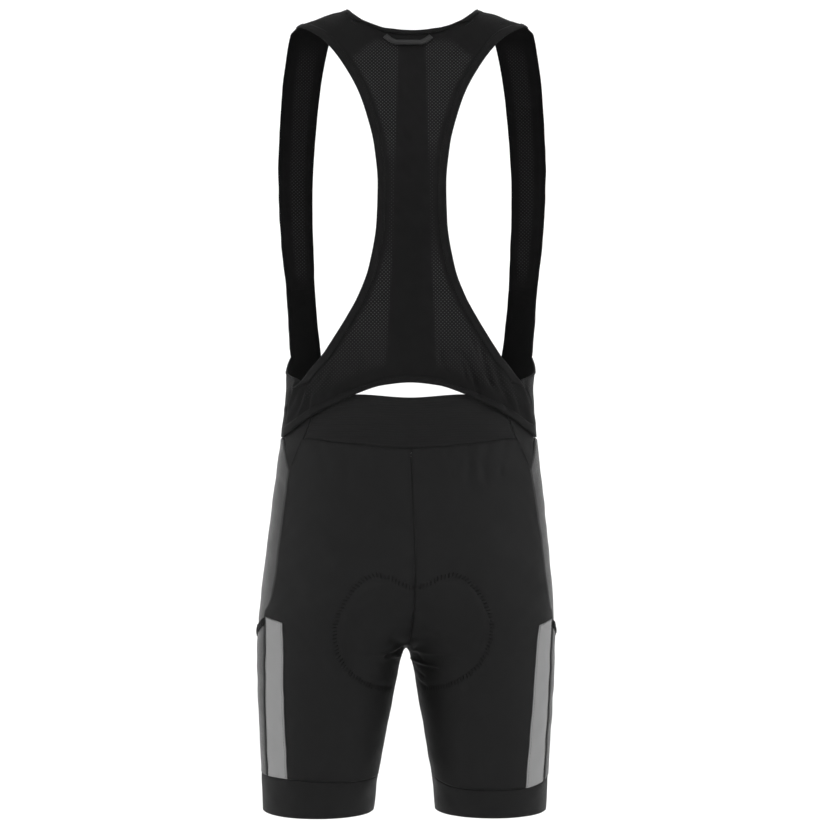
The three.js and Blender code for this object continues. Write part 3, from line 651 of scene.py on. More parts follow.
def outline(table, count):
    """Evenly spaced points of the smooth line through a table's points, in x and z.

    A line that starts or ends on the garment's middle runs level there.
    """
    points = np.array([(row["x"], row["z"]) for row in table], float)

    def beyond(end, following):
        return following * [-1, 1] if abs(end[0]) < 1 else 2 * end - following

    before, after = beyond(points[0], points[1]), beyond(points[-1], points[-2])
    ends = np.concatenate([[before], points, [after]])
    a, b, c, d = ends[:-3], ends[1:-2], ends[2:-1], ends[3:]
    t = np.linspace(0, 1, POINTS_A_SPAN, endpoint=False)[:, None, None]
    bent = b * 2 + (c - a) * t + (2 * a - 5 * b + 4 * c - d) * t**2 + (3 * b - a - 3 * c + d) * t**3
    line = np.concatenate([(bent / 2).transpose(1, 0, 2).reshape(-1, 2), points[-1:]])
    return evenly(line, count)


def evenly(line, count):
    """A polyline's points, moved along it until they are evenly spaced."""
    gone = np.concatenate([[0], np.cumsum(np.linalg.norm(np.diff(line, axis=0), axis=1))])
    at = np.linspace(0, gone[-1], count)
    return np.stack([np.interp(at, gone, line[:, k]) for k in range(line.shape[1])], axis=-1)


PAD_LINES = {
    face: outline(table, PAD_POINTS[face]) for face, table in ((BACK, PAD_BACK), (FRONT, PAD_FRONT))
}


def pad_height(x, z, face):
    """The seat pad's bulge: a raised field inside its outline, sewn down along the edge."""
    line = PAD_LINES[face]
    px, pz = np.abs(x).ravel(), z.ravel()
    away = np.full(px.shape, 1e9)
    inside = np.zeros(px.shape, bool)
    for (ax, az), (bx, bz) in zip(line[:-1], line[1:]):
        square = (bx - ax) ** 2 + (bz - az) ** 2
        share = np.clip(((px - ax) * (bx - ax) + (pz - az) * (bz - az)) / square, 0, 1)
        gap = np.hypot(px - ax - (bx - ax) * share, pz - az - (bz - az) * share)
        away = np.minimum(away, gap)
        crosses = ((az > pz) != (bz > pz)) & (px < ax + (bx - ax) * (pz - az) / (bz - az + 1e-12))
        inside ^= crosses
    signed = np.where(inside, away, -away)
    sewn = PAD_STITCH_DIP * np.exp(-((away / PAD_STITCH_SPREAD) ** 2))
    open_thigh = np.where(pz > CROTCH, 1, smooth(px - leg_inner(pz), 0, PAD_INSEAM_FADE))
    return ((PAD_HEIGHT * smooth(signed, 0, PAD_EDGE) - sewn) * open_thigh).reshape(x.shape)


# Creases swell and fade along their length by CREASE_UNEVEN, and fade past their ends over
# CREASE_END times their spread.
CREASE_GAIN = 1.5
CREASE_UNEVEN = 0.25
CREASE_SWELLS = 5
CREASE_END = 1.6


def crease_height(crease, x, z):
    """What one crease adds at points of its own face."""
    along_x, along_z = crease["to_x"] - crease["x"], crease["to_z"] - crease["z"]
    length = math.hypot(along_x, along_z)
    from_x, from_z = x - crease["x"], z - crease["z"]
    along = (from_x * along_x + from_z * along_z) / length**2
    across = (from_x * along_z - from_z * along_x) / length
    bowed = across - crease["bend"] * (1 - (2 * along - 1) ** 2)
    past = np.maximum(np.abs(along - 0.5) - 0.5, 0) * length
    fade = np.exp(-((past / (CREASE_END * crease["spread"])) ** 2))
    swell = 1 - CREASE_UNEVEN + CREASE_UNEVEN * np.sin(along * CREASE_SWELLS + crease["x"])
    strength = CREASE_GAIN * crease["height"] * swell * fade
    return strength * np.exp(-((bowed / crease["spread"]) ** 2))


def fold_height(fold, x, z):
    """What one large fold adds at points of the back."""
    along_x, along_z = fold["to_x"] - fold["x"], fold["to_z"] - fold["z"]
    square = along_x**2 + along_z**2
    share = np.clip(((x - fold["x"]) * along_x + (z - fold["z"]) * along_z) / square, 0, 1)
    away = (x - fold["x"] - along_x * share) ** 2 + (z - fold["z"] - along_z * share) ** 2
    return fold["height"] * np.exp(-away / fold["spread"] ** 2)


def relief(points, half):
    """How far waves, folds, creases and the pad raise points, given on the right half."""
    x, z = points[..., 0] * (half or 1), points[..., 2]
    behind = points[..., 1] <= 0
    height = np.zeros(x.shape)
    for wave in WAVES:
        phase = x / wave["across"] + z / wave["up"] + wave["phase"]
        height += wave["height"] * np.sin(2 * math.pi * phase)
    for fold in FOLDS:
        height += np.where(behind, fold_height(fold, x, z), 0)
    for crease in CREASES:
        on_face = behind if crease["face"] == BACK else ~behind
        height += np.where(on_face, crease_height(crease, x, z), 0)
    if z.min() < PAD_ROOM:
        height += np.where(behind, pad_height(x, z, BACK), pad_height(x, z, FRONT))
    return height


def trim(grid, amount=SEAM_GAP / 2):
    """Moves a grid's outer rows and columns inwards, to leave half a seam gap there."""
    grid = grid.copy()
    for edge, following in ((0, 1), (-1, -2)):
        for lines in (grid.swapaxes(0, 1), grid):
            step = lines[following] - lines[edge]
            distance = np.linalg.norm(step, axis=-1, keepdims=True)
            lines[edge] += step * np.minimum(LARGEST_TRIM, amount / np.maximum(distance, TINY))
    return grid


def finer(values, pitch):
    """A falling or rising list with enough even steps added for the pitch."""
    made = [values[0]]
    for start, end in zip(values[:-1], values[1:]):
        count = max(1, math.ceil(abs(end - start) / pitch - TINY))
        made += [mix(start, end, k / count) for k in range(1, count + 1)]
    return np.array(made, float)


def joined(*stretches):
    """Stretches of steps in one run, where each starts at the end of the one before."""
    return np.concatenate([stretches[0], *(stretch[1:] for stretch in stretches[1:])])


def banded(inner, outer, middle):
    """Shares across a piece: even steps in the band along each edge, and between them."""
    return joined(
        np.linspace(0, inner, BAND_STEPS + 1),
        np.linspace(inner, 1 - outer, middle + 1),
        np.linspace(1 - outer, 1, BAND_STEPS + 1),
    )


def even(count):
    """The same even shares on every level."""
    line = np.linspace(0, 1, count + 1)
    return lambda z: np.tile(line, (len(np.atleast_1d(z)), 1))


def panel(levels, shares, place, left, right, top=None, bottom=None, fades=(1, 1)):
    """A trimmed grid between two side edges, whose first and last rows lie on the end edges.

    fades says over how many millimetres from each end the rows even out.
    """
    first, last = levels[0], levels[-1]
    columns = np.arange(shares(np.array([first])).shape[1])

    def row(z):
        return place(mix(left(z), right(z), shares(z)[columns, columns]), z)

    def settle(start, edge):
        z = np.full(len(columns), float(start))
        if edge is None:
            return z * 0
        for _ in range(SETTLE_STEPS):
            z = edge(row(z))
        return z - start

    tops, bottoms = settle(first, top), settle(last, bottom)
    made = []
    for level in levels:
        rise = tops * ramp(level, first - fades[0], first)
        fall = bottoms * ramp(level, last + fades[1], last)
        made.append(row(level + rise + fall))
    return trim(np.array(made))


SIDE_LEVELS = np.arange(HEM, STRAP_SEAM + 1, LEVEL_STEP)


def edge_side(table, face):
    """The side value of an edge at any level."""
    x = curve(table, "z", "x")
    sides = side_at(x(SIDE_LEVELS), SIDE_LEVELS, face)
    return lambda z: np.interp(z, SIDE_LEVELS, sides)


def by_x(table):
    """A level edge by its distance from the middle, where it runs level."""
    across = {"x": -table[1]["x"], "z": table[1]["z"]}
    z = curve([across, *table] if table[0]["x"] == 0 else table, "x", "z")
    return lambda points: z(np.abs(points[..., 0]))


bib_edge = curve(BIB_EDGE, "z", "x")
band_outer = curve(BAND_OUTER, "z", "x")
back_seam = edge_side(BACK_SEAM, BACK)
front_seam = edge_side(FRONT_SEAM, FRONT)
stripe_outer = edge_side(STRIPE_OUTER, BACK)
back_fan = edge_side(BACK_FAN, BACK)
arch_edge = curve(ARCH, "x", "z")

# The back bib: a band along each edge, and columns that gather to the neck at the top. Lower
# down, the columns go over from even steps across to even steps round the surface.
NECK_COLUMNS = 48
BIB_COLUMNS = 66
NECK_SHARE = RIDGE_IN[0] / (RIDGE_OUT[0] - ARMHOLE_BAND)
BIB_GATHERS = (-90, -20)
BIB_ROUNDS = (-330, -400)
BIB_FADES = (60, 130)


def bib_shares(z):
    z = np.atleast_1d(z)[:, None]
    edge = bib_edge(z)
    slope = (bib_edge(z + 1) - bib_edge(z - 1)) / 2
    inner = edge - np.minimum(ARMHOLE_BAND_ACROSS, ARMHOLE_BAND * np.hypot(1, slope))
    turn = np.arcsin(np.clip(inner / half_width(z), 0, 1))
    k = np.arange(BIB_COLUMNS + 1)[None, :]
    on_neck = np.sin(np.clip(k / NECK_COLUMNS, 0, 1) * math.pi / 2) * NECK_SHARE
    spare = mix(NECK_SHARE, 1, ramp(k, NECK_COLUMNS, BIB_COLUMNS))
    gathered = np.where(k < NECK_COLUMNS, on_neck, spare)
    share = mix(k / BIB_COLUMNS, gathered, ramp(z, *BIB_GATHERS))
    right = mix(inner * share, half_width(z) * np.sin(turn * share), ramp(z, *BIB_ROUNDS))
    band = inner + (edge - inner) * (np.arange(1, BAND_STEPS + 1) / BAND_STEPS)[None, :]
    half_row = np.concatenate([right, band], axis=1)
    across = np.concatenate([-half_row[:, :0:-1], half_row], axis=1)
    return (across + edge) / (2 * edge)


def back_point(x, z):
    return trunk_point(x, z, BACK)


bib_grid = panel(
    joined(
        np.linspace(NECK_CENTRE, NECK_CENTRE - NECK_BAND, BAND_STEPS + 1),
        finer([NECK_CENTRE - NECK_BAND, ARCH_CENTRE + ARCH_BAND], ROW_PITCH),
        np.linspace(ARCH_CENTRE + ARCH_BAND, ARCH_CENTRE, BAND_STEPS + 1),
    ),
    bib_shares,
    back_point,
    lambda z: -bib_edge(z),
    bib_edge,
    top=by_x(BIB_TOP),
    bottom=by_x(ARCH),
    fades=BIB_FADES,
)

strap_inner = curve(STRAP_INNER, "z", "x")
strap_outer = curve(STRAP_OUTER, "z", "x")
STRAP_MIDDLE = 12
STRAP_LEVELS_OUT = -60
STRAP_TOP_LEVELS = [NECK_TOP, -4, -9, -16, -26]


def strap_row(level):
    """A row of the strap: the top one lies along the shoulder's ridge."""
    drop = (RIDGE_OUT[1] - RIDGE_IN[1]) * ramp(level, STRAP_LEVELS_OUT, NECK_TOP)
    inner, outer = strap_inner(level), strap_outer(level + drop)
    width = outer - inner
    share = banded(SCOOP_BAND / width, ARMHOLE_BAND / width, STRAP_MIDDLE)
    return trunk_point(mix(inner, outer, share), mix(level, level + drop, share), FRONT)


strap_levels = joined(
    finer(STRAP_TOP_LEVELS, FINE_PITCH), finer([STRAP_TOP_LEVELS[-1], STRAP_SEAM], ROW_PITCH)
)
strap_grid = trim(np.array([strap_row(level) for level in strap_levels]))

armhole_front = edge_side(ARMHOLE_FRONT, FRONT)
bib_side = edge_side(BIB_EDGE, BACK)
ARMHOLE_TURN = ARMHOLE_FRONT[-1]["z"]
armhole_low = curve(
    rows(
        "z side",
        (ARMHOLE_TURN, float(armhole_front(ARMHOLE_TURN))),
        (ARMHOLE_SIDE, 0),
        (ARMHOLE_BOTTOM, float(bib_side(ARMHOLE_BOTTOM))),
    ),
    "z",
    "side",
)


def front_bib_outer(z):
    """The front bib's outer edge: the armhole, then the side seam with the back bib."""
    low = np.where(z < ARMHOLE_BOTTOM, bib_side(z), armhole_low(z))
    return np.where(z > ARMHOLE_TURN, armhole_front(z), low)


def by_side(table, face):
    return [{"z": row["z"], "side": float(side_at(row["x"], row["z"], face))} for row in table]


# Where the bib pieces end, from the scoop's corner round to the wedge
waist_seam = curve(by_side(SCOOP_FRONT[3:], FRONT) + by_side(WING_OUTER[2:], BACK), "side", "z")


def side_per_mm(side, z):
    """What a millimetre along a level is worth as a side value."""
    span = surface(side, z) - surface(side + SIDE_STEP, z)
    return SIDE_STEP / np.linalg.norm(span, axis=-1)


scoop_side = edge_side(SCOOP_SIDE, FRONT)
FRONT_BIB_MIDDLE = 26
FRONT_BIB_FADE = 40
FRONT_BIB_CLOSE = -380


def front_bib_shares(level):
    start, end = scoop_side(level), front_bib_outer(level)
    inner = SCOOP_BAND * side_per_mm(start, level) / (end - start)
    outer = ARMHOLE_BAND * side_per_mm(end - SIDE_STEP, level) / (end - start)
    return banded(inner, outer, FRONT_BIB_MIDDLE)


def front_bib_row(level):
    """A row of the front bib: the last one lies along the waist seam."""
    share = front_bib_shares(level)
    side = mix(scoop_side(level), front_bib_outer(level), share)
    rise = (waist_seam(side) - ARCH_END) * ramp(level, ARCH_END + FRONT_BIB_FADE, ARCH_END)
    z = level + np.maximum(0, rise)
    return surface(mix(scoop_side(z), front_bib_outer(z), share), z)


front_bib_levels = joined(
    finer([STRAP_SEAM, FRONT_BIB_CLOSE], ROW_PITCH),
    finer([FRONT_BIB_CLOSE, ARCH_END], CLOSE_PITCH),
)
front_bib_grid = trim(np.array([front_bib_row(level) for level in front_bib_levels]))

FRONT_COLUMNS = 60
FRONT_FADES = (70, 1)
front_grid = panel(
    joined(
        np.linspace(SCOOP_CENTRE, SCOOP_CENTRE - SCOOP_BAND, BAND_STEPS + 1),
        finer([SCOOP_CENTRE - SCOOP_BAND, GRIPPER_SEAM], ROW_PITCH),
    ),
    even(FRONT_COLUMNS),
    surface,
    lambda z: np.full(np.shape(z), -1.0),
    front_seam,
    top=by_x(SCOOP_FRONT),
    fades=FRONT_FADES,
)

WAIST_RIB_PITCH = 2.6
WAIST_RIB_HEIGHT = 0.07
ROWS_A_RIB = 5
WAISTBAND_COLUMNS = 90
WAISTBAND_FADES = (30, 40)
waistband_grid = panel(
    finer([BAND_TOP[0]["z"], WAIST_SEAM], WAIST_RIB_PITCH / ROWS_A_RIB),
    even(WAISTBAND_COLUMNS),
    back_point,
    lambda z: -band_outer(z),
    band_outer,
    top=by_x(BAND_TOP),
    bottom=by_x(BAND_SEAM),
    fades=WAISTBAND_FADES,
)
WING_COLUMNS = 10
wing_grid = panel(
    finer([WING_OUTER[0]["z"], WING_OUTER[-1]["z"]], CLOSE_PITCH),
    even(WING_COLUMNS),
    surface,
    edge_side(WING_OUTER, BACK),
    edge_side(WING_INNER, BACK),
)

BACK_COLUMNS = 84
BACK_FADES = (40, 1)
FAN_START = 0.25


def back_shares(z):
    """The back panel's columns fan out smoothly past the step at the stripe's top."""
    edge, fan = back_seam(z)[:, None], back_fan(z)[:, None]
    share = np.linspace(0, 1, BACK_COLUMNS + 1)[None, :]
    fanned = (mix(fan, 1, share) - edge) / (1 - edge)
    fanned[:, 0] = 0
    near = 1 - smooth(share, 0, FAN_START)
    return mix(fanned, share, near)


# The levels of the step at the stripe's top. Rows are closest where the crotch wrinkles.
STRIPE_STEP = (-675, -679, -681.5, -684)
WRINKLED = (-696, -756)
WRINKLE_PITCH = 1.2
back_grid = panel(
    joined(
        finer([WAIST_SEAM, *STRIPE_STEP, WRINKLED[0]], ROW_PITCH),
        finer(WRINKLED, WRINKLE_PITCH),
        finer([WRINKLED[1], GRIPPER_SEAM], ROW_PITCH),
    ),
    back_shares,
    surface,
    back_seam,
    lambda z: np.ones(np.shape(z)),
    top=by_x(BAND_SEAM),
    fades=BACK_FADES,
)


def side_back(z):
    """The side panel's back edge: along the back panel, then along the stripe."""
    return np.where(z > STRIPE_OUTER[0]["z"], back_seam(z), stripe_outer(z))


# The side panel's top edge is where each column meets the waist seam, which dips along the
# wedge's outer edge.
SIDE_TOP = -479
SIDE_FADE = 75
SIDE_STEP_LEVELS = (-675, -690)
WAIST_SPAN = (-520, -470)
SIDE_SHARES = np.linspace(0, 1, 49)
side_drop = crossing(
    lambda z: waist_seam(mix(front_seam(z), side_back(z), SIDE_SHARES)) - z,
    np.full(len(SIDE_SHARES), WAIST_SPAN[0], float),
    np.full(len(SIDE_SHARES), WAIST_SPAN[1], float),
)
side_drop -= SIDE_TOP


def side_row(level):
    z = level + side_drop * ramp(level, SIDE_TOP - SIDE_FADE, SIDE_TOP)
    return surface(mix(front_seam(z), side_back(z), SIDE_SHARES), z)


side_levels = joined(
    finer([SIDE_TOP, SIDE_STEP_LEVELS[0]], ROW_PITCH),
    finer(SIDE_STEP_LEVELS, FINE_PITCH),
    finer([SIDE_STEP_LEVELS[1], GRIPPER_SEAM], ROW_PITCH),
)
side_grid = trim(np.array([side_row(level) for level in side_levels]))

STRIPE_COLUMNS = 9
STRIPE_FADES = (7, 1)
stripe_grid = panel(
    finer([STRIPE_STEP[-1], GRIPPER_SEAM], ROW_PITCH),
    even(STRIPE_COLUMNS),
    surface,
    stripe_outer,
    back_seam,
    top=by_x(STRIPE_TOP),
    fades=STRIPE_FADES,
)

# The pocket and its elastic lie between two grooves, one at each edge of the side panel.
pocket_top = curve(POCKET_TOP, "round", "z")
POCKET_ROWS = 56
POCKET_AROUND = np.linspace(0, 1, 41)
ELASTIC_ROWS = 9
ELASTIC_AROUND = np.linspace(0, 1, ELASTIC_WAVES * 12 + 1)


def pocket_point(around, z):
    groove = POCKET_GROOVE * side_per_mm(side_back(z) - SIDE_STEP, z)
    return surface(mix(side_back(z) - groove, front_seam(z) + groove, around), z)


pocket_rows = [
    pocket_point(POCKET_AROUND, mix(pocket_top(POCKET_AROUND), GRIPPER_SEAM, down))
    for down in np.linspace(0, 1, POCKET_ROWS)
]
pocket_grid = trim(np.array(pocket_rows))
elastic_rows = [
    pocket_point(ELASTIC_AROUND, pocket_top(ELASTIC_AROUND) + ELASTIC_HEIGHT * up)
    for up in np.linspace(1, 0, ELASTIC_ROWS)
]
elastic_grid = trim(np.array(elastic_rows))

GRIPPER_COLUMNS = 144
gripper_sides = np.linspace(-1, 1, GRIPPER_COLUMNS, endpoint=False)
gripper_levels = finer([GRIPPER_SEAM - SEAM_GAP, HEM], FINE_PITCH)
gripper_grid = np.array([surface(gripper_sides, z) for z in gripper_levels])


def edge_loops(grid, ring=False):
    """Adds a row and a column close inside each edge, so that a seam's fall stays narrow."""
    for axis in (0,) if ring else (0, 1):
        lines = grid.swapaxes(0, axis)
        made = [lines[0]]
        for edge, following in ((0, 1), (-1, -2)):
            step = lines[following] - lines[edge]
            distance = np.maximum(np.linalg.norm(step, axis=-1, keepdims=True), TINY)
            close = lines[edge] + step * np.minimum(LARGEST_LOOP, EDGE_LOOP / distance)
            made += [close, *lines[1:-1]] if edge == 0 else [close, lines[-1]]
        grid = np.array(made).swapaxes(0, axis)
    return grid


def flat_map(grid, centre):
    """Where each point lies on the flat cloth: millimetres across and along."""
    across = np.linalg.norm(np.diff(grid, axis=1), axis=-1).cumsum(axis=1)
    along = np.linalg.norm(np.diff(grid, axis=0), axis=-1).cumsum(axis=0)
    u = np.concatenate([np.zeros((len(grid), 1)), across], axis=1)
    v = np.concatenate([np.zeros((1, grid.shape[1])), along], axis=0)
    return np.stack([u - u[:, centre : centre + 1], v], axis=-1)


PROFILE_LEVELS = np.arange(HEM, LEVEL_STEP, LEVEL_STEP)


def level_map(grid, depth):
    """Millimetres across, and along the middle's profile, so that each level is one row."""
    steps = np.hypot(np.diff(PROFILE_LEVELS), np.diff(depth(PROFILE_LEVELS)))
    length = np.concatenate([[0], np.cumsum(steps)])
    along = np.interp(grid[..., 2], PROFILE_LEVELS, length)
    return np.stack([grid[..., 0], -along], axis=-1)


def shell_faces(row_count, columns, ring):
    """The quads of a closed shell, as vertices and as places on the flat map."""
    steps = columns if ring else columns - 1
    wide = steps + 1
    r, c = np.meshgrid(np.arange(row_count - 1), np.arange(steps), indexing="ij")
    r, c = r.ravel(), c.ravel()
    top, side = np.arange(steps), np.arange(row_count - 1)
    zero, last = np.zeros_like, row_count - 1

    def corners(layer, pairs):
        vertex = [layer * row_count * columns + a * columns + b % columns for a, b in pairs]
        place = [a * wide + b for a, b in pairs]
        return np.stack(vertex, axis=-1), np.stack(place, axis=-1)

    cell = [(r, c), (r, c + 1), (r + 1, c + 1), (r + 1, c)]
    parts = [corners(0, cell), corners(1, cell[::-1])]

    def rim(a, b):
        upper, under = corners(0, [a, b]), corners(1, [a, b])
        order = [(upper, 0), (under, 0), (under, 1), (upper, 1)]
        parts.append(tuple(np.stack([p[k][:, i] for p, i in order], axis=-1) for k in (0, 1)))

    rim((zero(top), top), (zero(top), top + 1))
    rim((zero(top) + last, top + 1), (zero(top) + last, top))
    if not ring:
        rim((side + 1, zero(side)), (side, zero(side)))
        rim((side, zero(side) + columns - 1), (side + 1, zero(side) + columns - 1))
    return np.concatenate([p[0] for p in parts]), np.concatenate([p[1] for p in parts])


def signed_volume(points, quads):
    a, b, c, d = (points[quads[:, k]] for k in range(4))
    first = (a * np.cross(b, c)).sum()
    return (first + (a * np.cross(c, d)).sum()) / 6


def mesh_object(name, points, faces, uv=None, openness=None):
    """A smooth-shaded object, with the flat map and the openness if they are given."""
    mesh = bpy.data.meshes.new(name)
    mesh.from_pydata((points * MM).tolist(), [], faces)
    mesh.polygons.foreach_set("use_smooth", [True] * len(mesh.polygons))
    if uv is not None:
        layer = mesh.uv_layers.new(name="flat")
        layer.data.foreach_set("uv", uv.ravel())
    if openness is not None:
        mesh.attributes.new("openness", "FLOAT", "POINT").data.foreach_set("value", openness)
    mesh.update()
    made = bpy.data.objects.new(name, mesh)
    bpy.context.scene.collection.objects.link(made)
    return made


def shell(name, grid, inner, outer, half=0, ring=False, **form):
    """A closed cloth shell between two distances from the surface, posed.

    form may hold folded (whether the creases move it), lift and crown (added to the whole
    and to the outer layer), dip, centre (the flat map's middle column), profile (the depth
    of the profile that a level map follows) and open_at (where the knit opens into mesh).
    """
    height = relief(grid, half) if form.get("folded", True) else np.zeros(grid.shape[:2])
    height = height + form.get("lift", 0)
    dip = np.zeros(grid.shape[:2])
    dip[0], dip[-1] = 1, 1
    if not ring:
        dip[:, 0], dip[:, -1] = 1, 1
    raised = outer + height + form.get("crown", 0) - dip * form.get("dip", SEAM_DIP)
    normal = outward(grid)
    layers = [grid + normal * out[..., None] for out in (raised, inner + height)]
    points = np.concatenate([layer.reshape(-1, 3) for layer in layers])
    if half:
        points[:, 0] = np.maximum(points[:, 0], SEAM_GAP / 2) * half
    points = pose(points)
    vertices, places = shell_faces(*grid.shape[:2], ring)
    if signed_volume(points, vertices) < 0:
        vertices, places = vertices[:, ::-1], places[:, ::-1]
    mapped = np.concatenate([grid, grid[:, :1]], axis=1) if ring else grid
    profile = form.get("profile")
    flat = level_map(grid, profile) if profile else flat_map(mapped, form.get("centre", 0))
    uv = flat.reshape(-1, 2)[places.ravel()]
    open_at = form.get("open_at")
    openness = None if open_at is None else np.tile(open_at.ravel(), 2)
    return mesh_object(name, points, vertices.tolist(), uv, openness)


# Each piece's flat cut before it was worn: its width and length in millimetres and its area
# in square centimetres. The worn cloth is stretched by about 12 percent round the body and
# 4 percent along it. It rests on, or hangs from, the pieces that its row names last.
FLATS = rows(
    "node width length area held rests_on",
    ("back_bib", 255, 490, 560, "stretched", "strap_left strap_right"),
    ("strap", 72, 330, 145, "stretched", "back_bib"),
    ("front_bib", 140, 240, 138, "stretched", "strap_{side} back_bib"),
    ("waistband_back", 228, 56, 118, "stretched", "wing_left wing_right"),
    ("wing", 40, 93, 22.5, "stretched", "front_bib_{side}"),
    ("back", 185, 428, 560, "stretched", "waistband_back wing_{side}"),
    ("front", 176, 396, 505, "stretched", "front_bib_{side}"),
    ("side", 128, 366, 378, "stretched", "front_bib_{side} back_{side}"),
    ("stripe", 34, 190, 57, "stretched", "back_{side} side_{side}"),
    ("pocket", 104, 160, 145, "laid", "side_{side}"),
    ("pocket_elastic", 10, 104, 9.6, "gathered", "side_{side} pocket_{side}"),
    ("gripper", 402, 39, 155, "stretched", "back_{side} front_{side}"),
    ("armhole_binding_back", 10, 490, 43, "laid", "back_bib"),
    ("armhole_binding_front", 10, 505, 47, "laid", "strap_{side} front_bib_{side}"),
    ("neck_binding", 10, 205, 10.3, "laid", "back_bib"),
    ("arch_binding", 10, 340, 26.5, "laid", "back_bib"),
    ("scoop_binding", 10, 1170, 73, "laid", "front_left front_right strap_left strap_right"),
    ("hang_loop", 10, 62, 3.7, "hung", "back_bib"),
)
FLAT_OF = {row["node"]: row for row in FLATS}


def declare_sheet(node):
    """Reads which pieces a node's cloth rests on, from the row of its own name or of its pair's, and
    does nothing more with them.
    """
    name, _, side = node.rpartition("_")
    flat = FLAT_OF[name if side in ("left", "right") else node]
    flat["rests_on"].format(side=side).split()


def cloth(node, slot, material, grid, inner, outer, half=0, **form):
    """The shell that stands for a node, with a second, darker material on its inner faces if form
    gives one: painted shade there.
    """
    made = shell(f"{node}_cloth", grid, inner, outer, half, **form)
    made.data.materials.append(material)
    # The inner faces take the darker material: painted shade.
    if form.get("reverse"):
        made.data.materials.append(form["reverse"])
        cells = (grid.shape[0] - 1) * (grid.shape[1] - 1)
        for polygon in made.data.polygons[cells : 2 * cells]:
            polygon.material_index = 1
    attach(made, "root")
    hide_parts(node)
    declare_sheet(node)


SIDES = {"right": 1, "left": -1}


def pair(node, slot, material, grid, inner, outer, **form):
    for side, half in SIDES.items():
        cloth(f"{node}_{side}", slot, material, grid, inner, outer, half, **form)


class Graph:
    """A material's nodes, made one call each."""

    def __init__(self, name):
        self.material = bpy.data.materials.new(name)
        self.material.use_nodes = True
        self.tree = self.material.node_tree
        self.tree.nodes.clear()

    def node(self, kind, *values, output=0, **settings):
        made = self.tree.nodes.new("ShaderNode" + kind)
        for key, value in settings.items():
            setattr(made, key, value)
        for socket, value in zip(made.inputs, values):
            if isinstance(value, bpy.types.NodeSocket):
                self.tree.links.new(value, socket)
            elif value is not None:
                socket.default_value = value
        return made.outputs[output]

    def math(self, operation, *values):
        return self.node("Math", *values, operation=operation)

    def flat(self):
        """Millimetres across and along the flat cloth."""
        split = self.tree.nodes.new("ShaderNodeSeparateXYZ")
        self.tree.links.new(self.node("UVMap", uv_map="flat"), split.inputs[0])
        return split.outputs[0], split.outputs[1]

    def wave(self, value, period, operation="SINE"):
        return self.math(operation, self.math("MULTIPLY", value, 2 * math.pi / period))

    def noise(self, scale, detail=3):
        place = self.node("TexCoord", output=3)
        return self.node("TexNoise", place, None, scale, detail)

    def between(self, value, low, high, to_low, to_high):
        return self.node("MapRange", value, low, high, to_low, to_high)

    def colour(self, share, low, high):
        """Goes from one colour to another, each a grey or a node's colour."""
        ends = [end if isinstance(end, bpy.types.NodeSocket) else (*end, 1) for end in (low, high)]
        return self.node("Mix", share, *[None] * 5, *ends, output=2, data_type="RGBA")

    def put(self, kind, **inputs):
        """A node whose inputs are set or linked by name, with a _ for each space."""
        made = self.tree.nodes.new("ShaderNode" + kind)
        for name, value in inputs.items():
            socket = made.inputs[name.replace("_", " ")]
            if isinstance(value, bpy.types.NodeSocket):
                self.tree.links.new(value, socket)
            else:
                socket.default_value = value
        return made

    def finish(self, colour, height, strength, depth, roughness, **constants):
        """The shader, with a bump of a strength and a depth in millimetres."""
        bump = self.put("Bump", Strength=strength, Distance=depth * MM, Height=height)
        looks = {"Base_Color": colour, "Normal": bump.outputs[0], "Roughness": roughness}
        shader = self.put("BsdfPrincipled", **looks, **constants)
        self.put("OutputMaterial", Surface=shader.outputs[0])
        return self.material


def grey(linear):
    return (linear, linear, linear)


# Noise in object space: waves a metre, and detail
PATCHES = (38, 4)
MESH_PATCHES = (45, 4)
FIBRES = (900, 2)
RIB_FIBRES = (800, 2)
STITCH_SLANT = 0.55


def knit_height(graph, wale, course):
    """Columns of small V stitches, a wale apart, in rows a course apart."""
    u, v = graph.flat()
    part = graph.math("FRACT", graph.math("MULTIPLY", u, 1 / wale))
    aside = graph.math("MULTIPLY", graph.math("ABSOLUTE", graph.math("SUBTRACT", part, 0.5)), 2)
    slanted = graph.math("MULTIPLY_ADD", aside, STITCH_SLANT * course, v)
    loop = graph.math("MULTIPLY_ADD", graph.wave(slanted, course), 0.35, 0.65)
    crown = graph.math("SUBTRACT", 1, graph.math("POWER", aside, 3))
    return graph.math("MULTIPLY", loop, crown)


def knit(name, low, high, roughness, wale=1, course=0.8, strength=0.25, **constants):
    """A plain knit: V stitches, faint uneven tone and a soft sheen."""
    graph = Graph(name)
    stitches = knit_height(graph, wale, course)
    uneven = graph.noise(*PATCHES)
    fine = graph.noise(*FIBRES)
    tone = graph.math("MULTIPLY_ADD", uneven, 0.5, graph.math("MULTIPLY", stitches, 0.35))
    tone = graph.math("MULTIPLY_ADD", fine, 0.3, tone)
    colour = graph.colour(tone, grey(low), grey(high))
    rough = graph.between(uneven, 0.3, 0.7, roughness - 0.05, roughness + 0.05)
    height = graph.math("MULTIPLY_ADD", fine, 0.4, stitches)
    return graph.finish(colour, height, strength, 0.25, rough, **constants)


MESH_PITCH = 4
HOLE_EDGE = (0.4, 0.8)
HOLE_DEPTH = 2.2


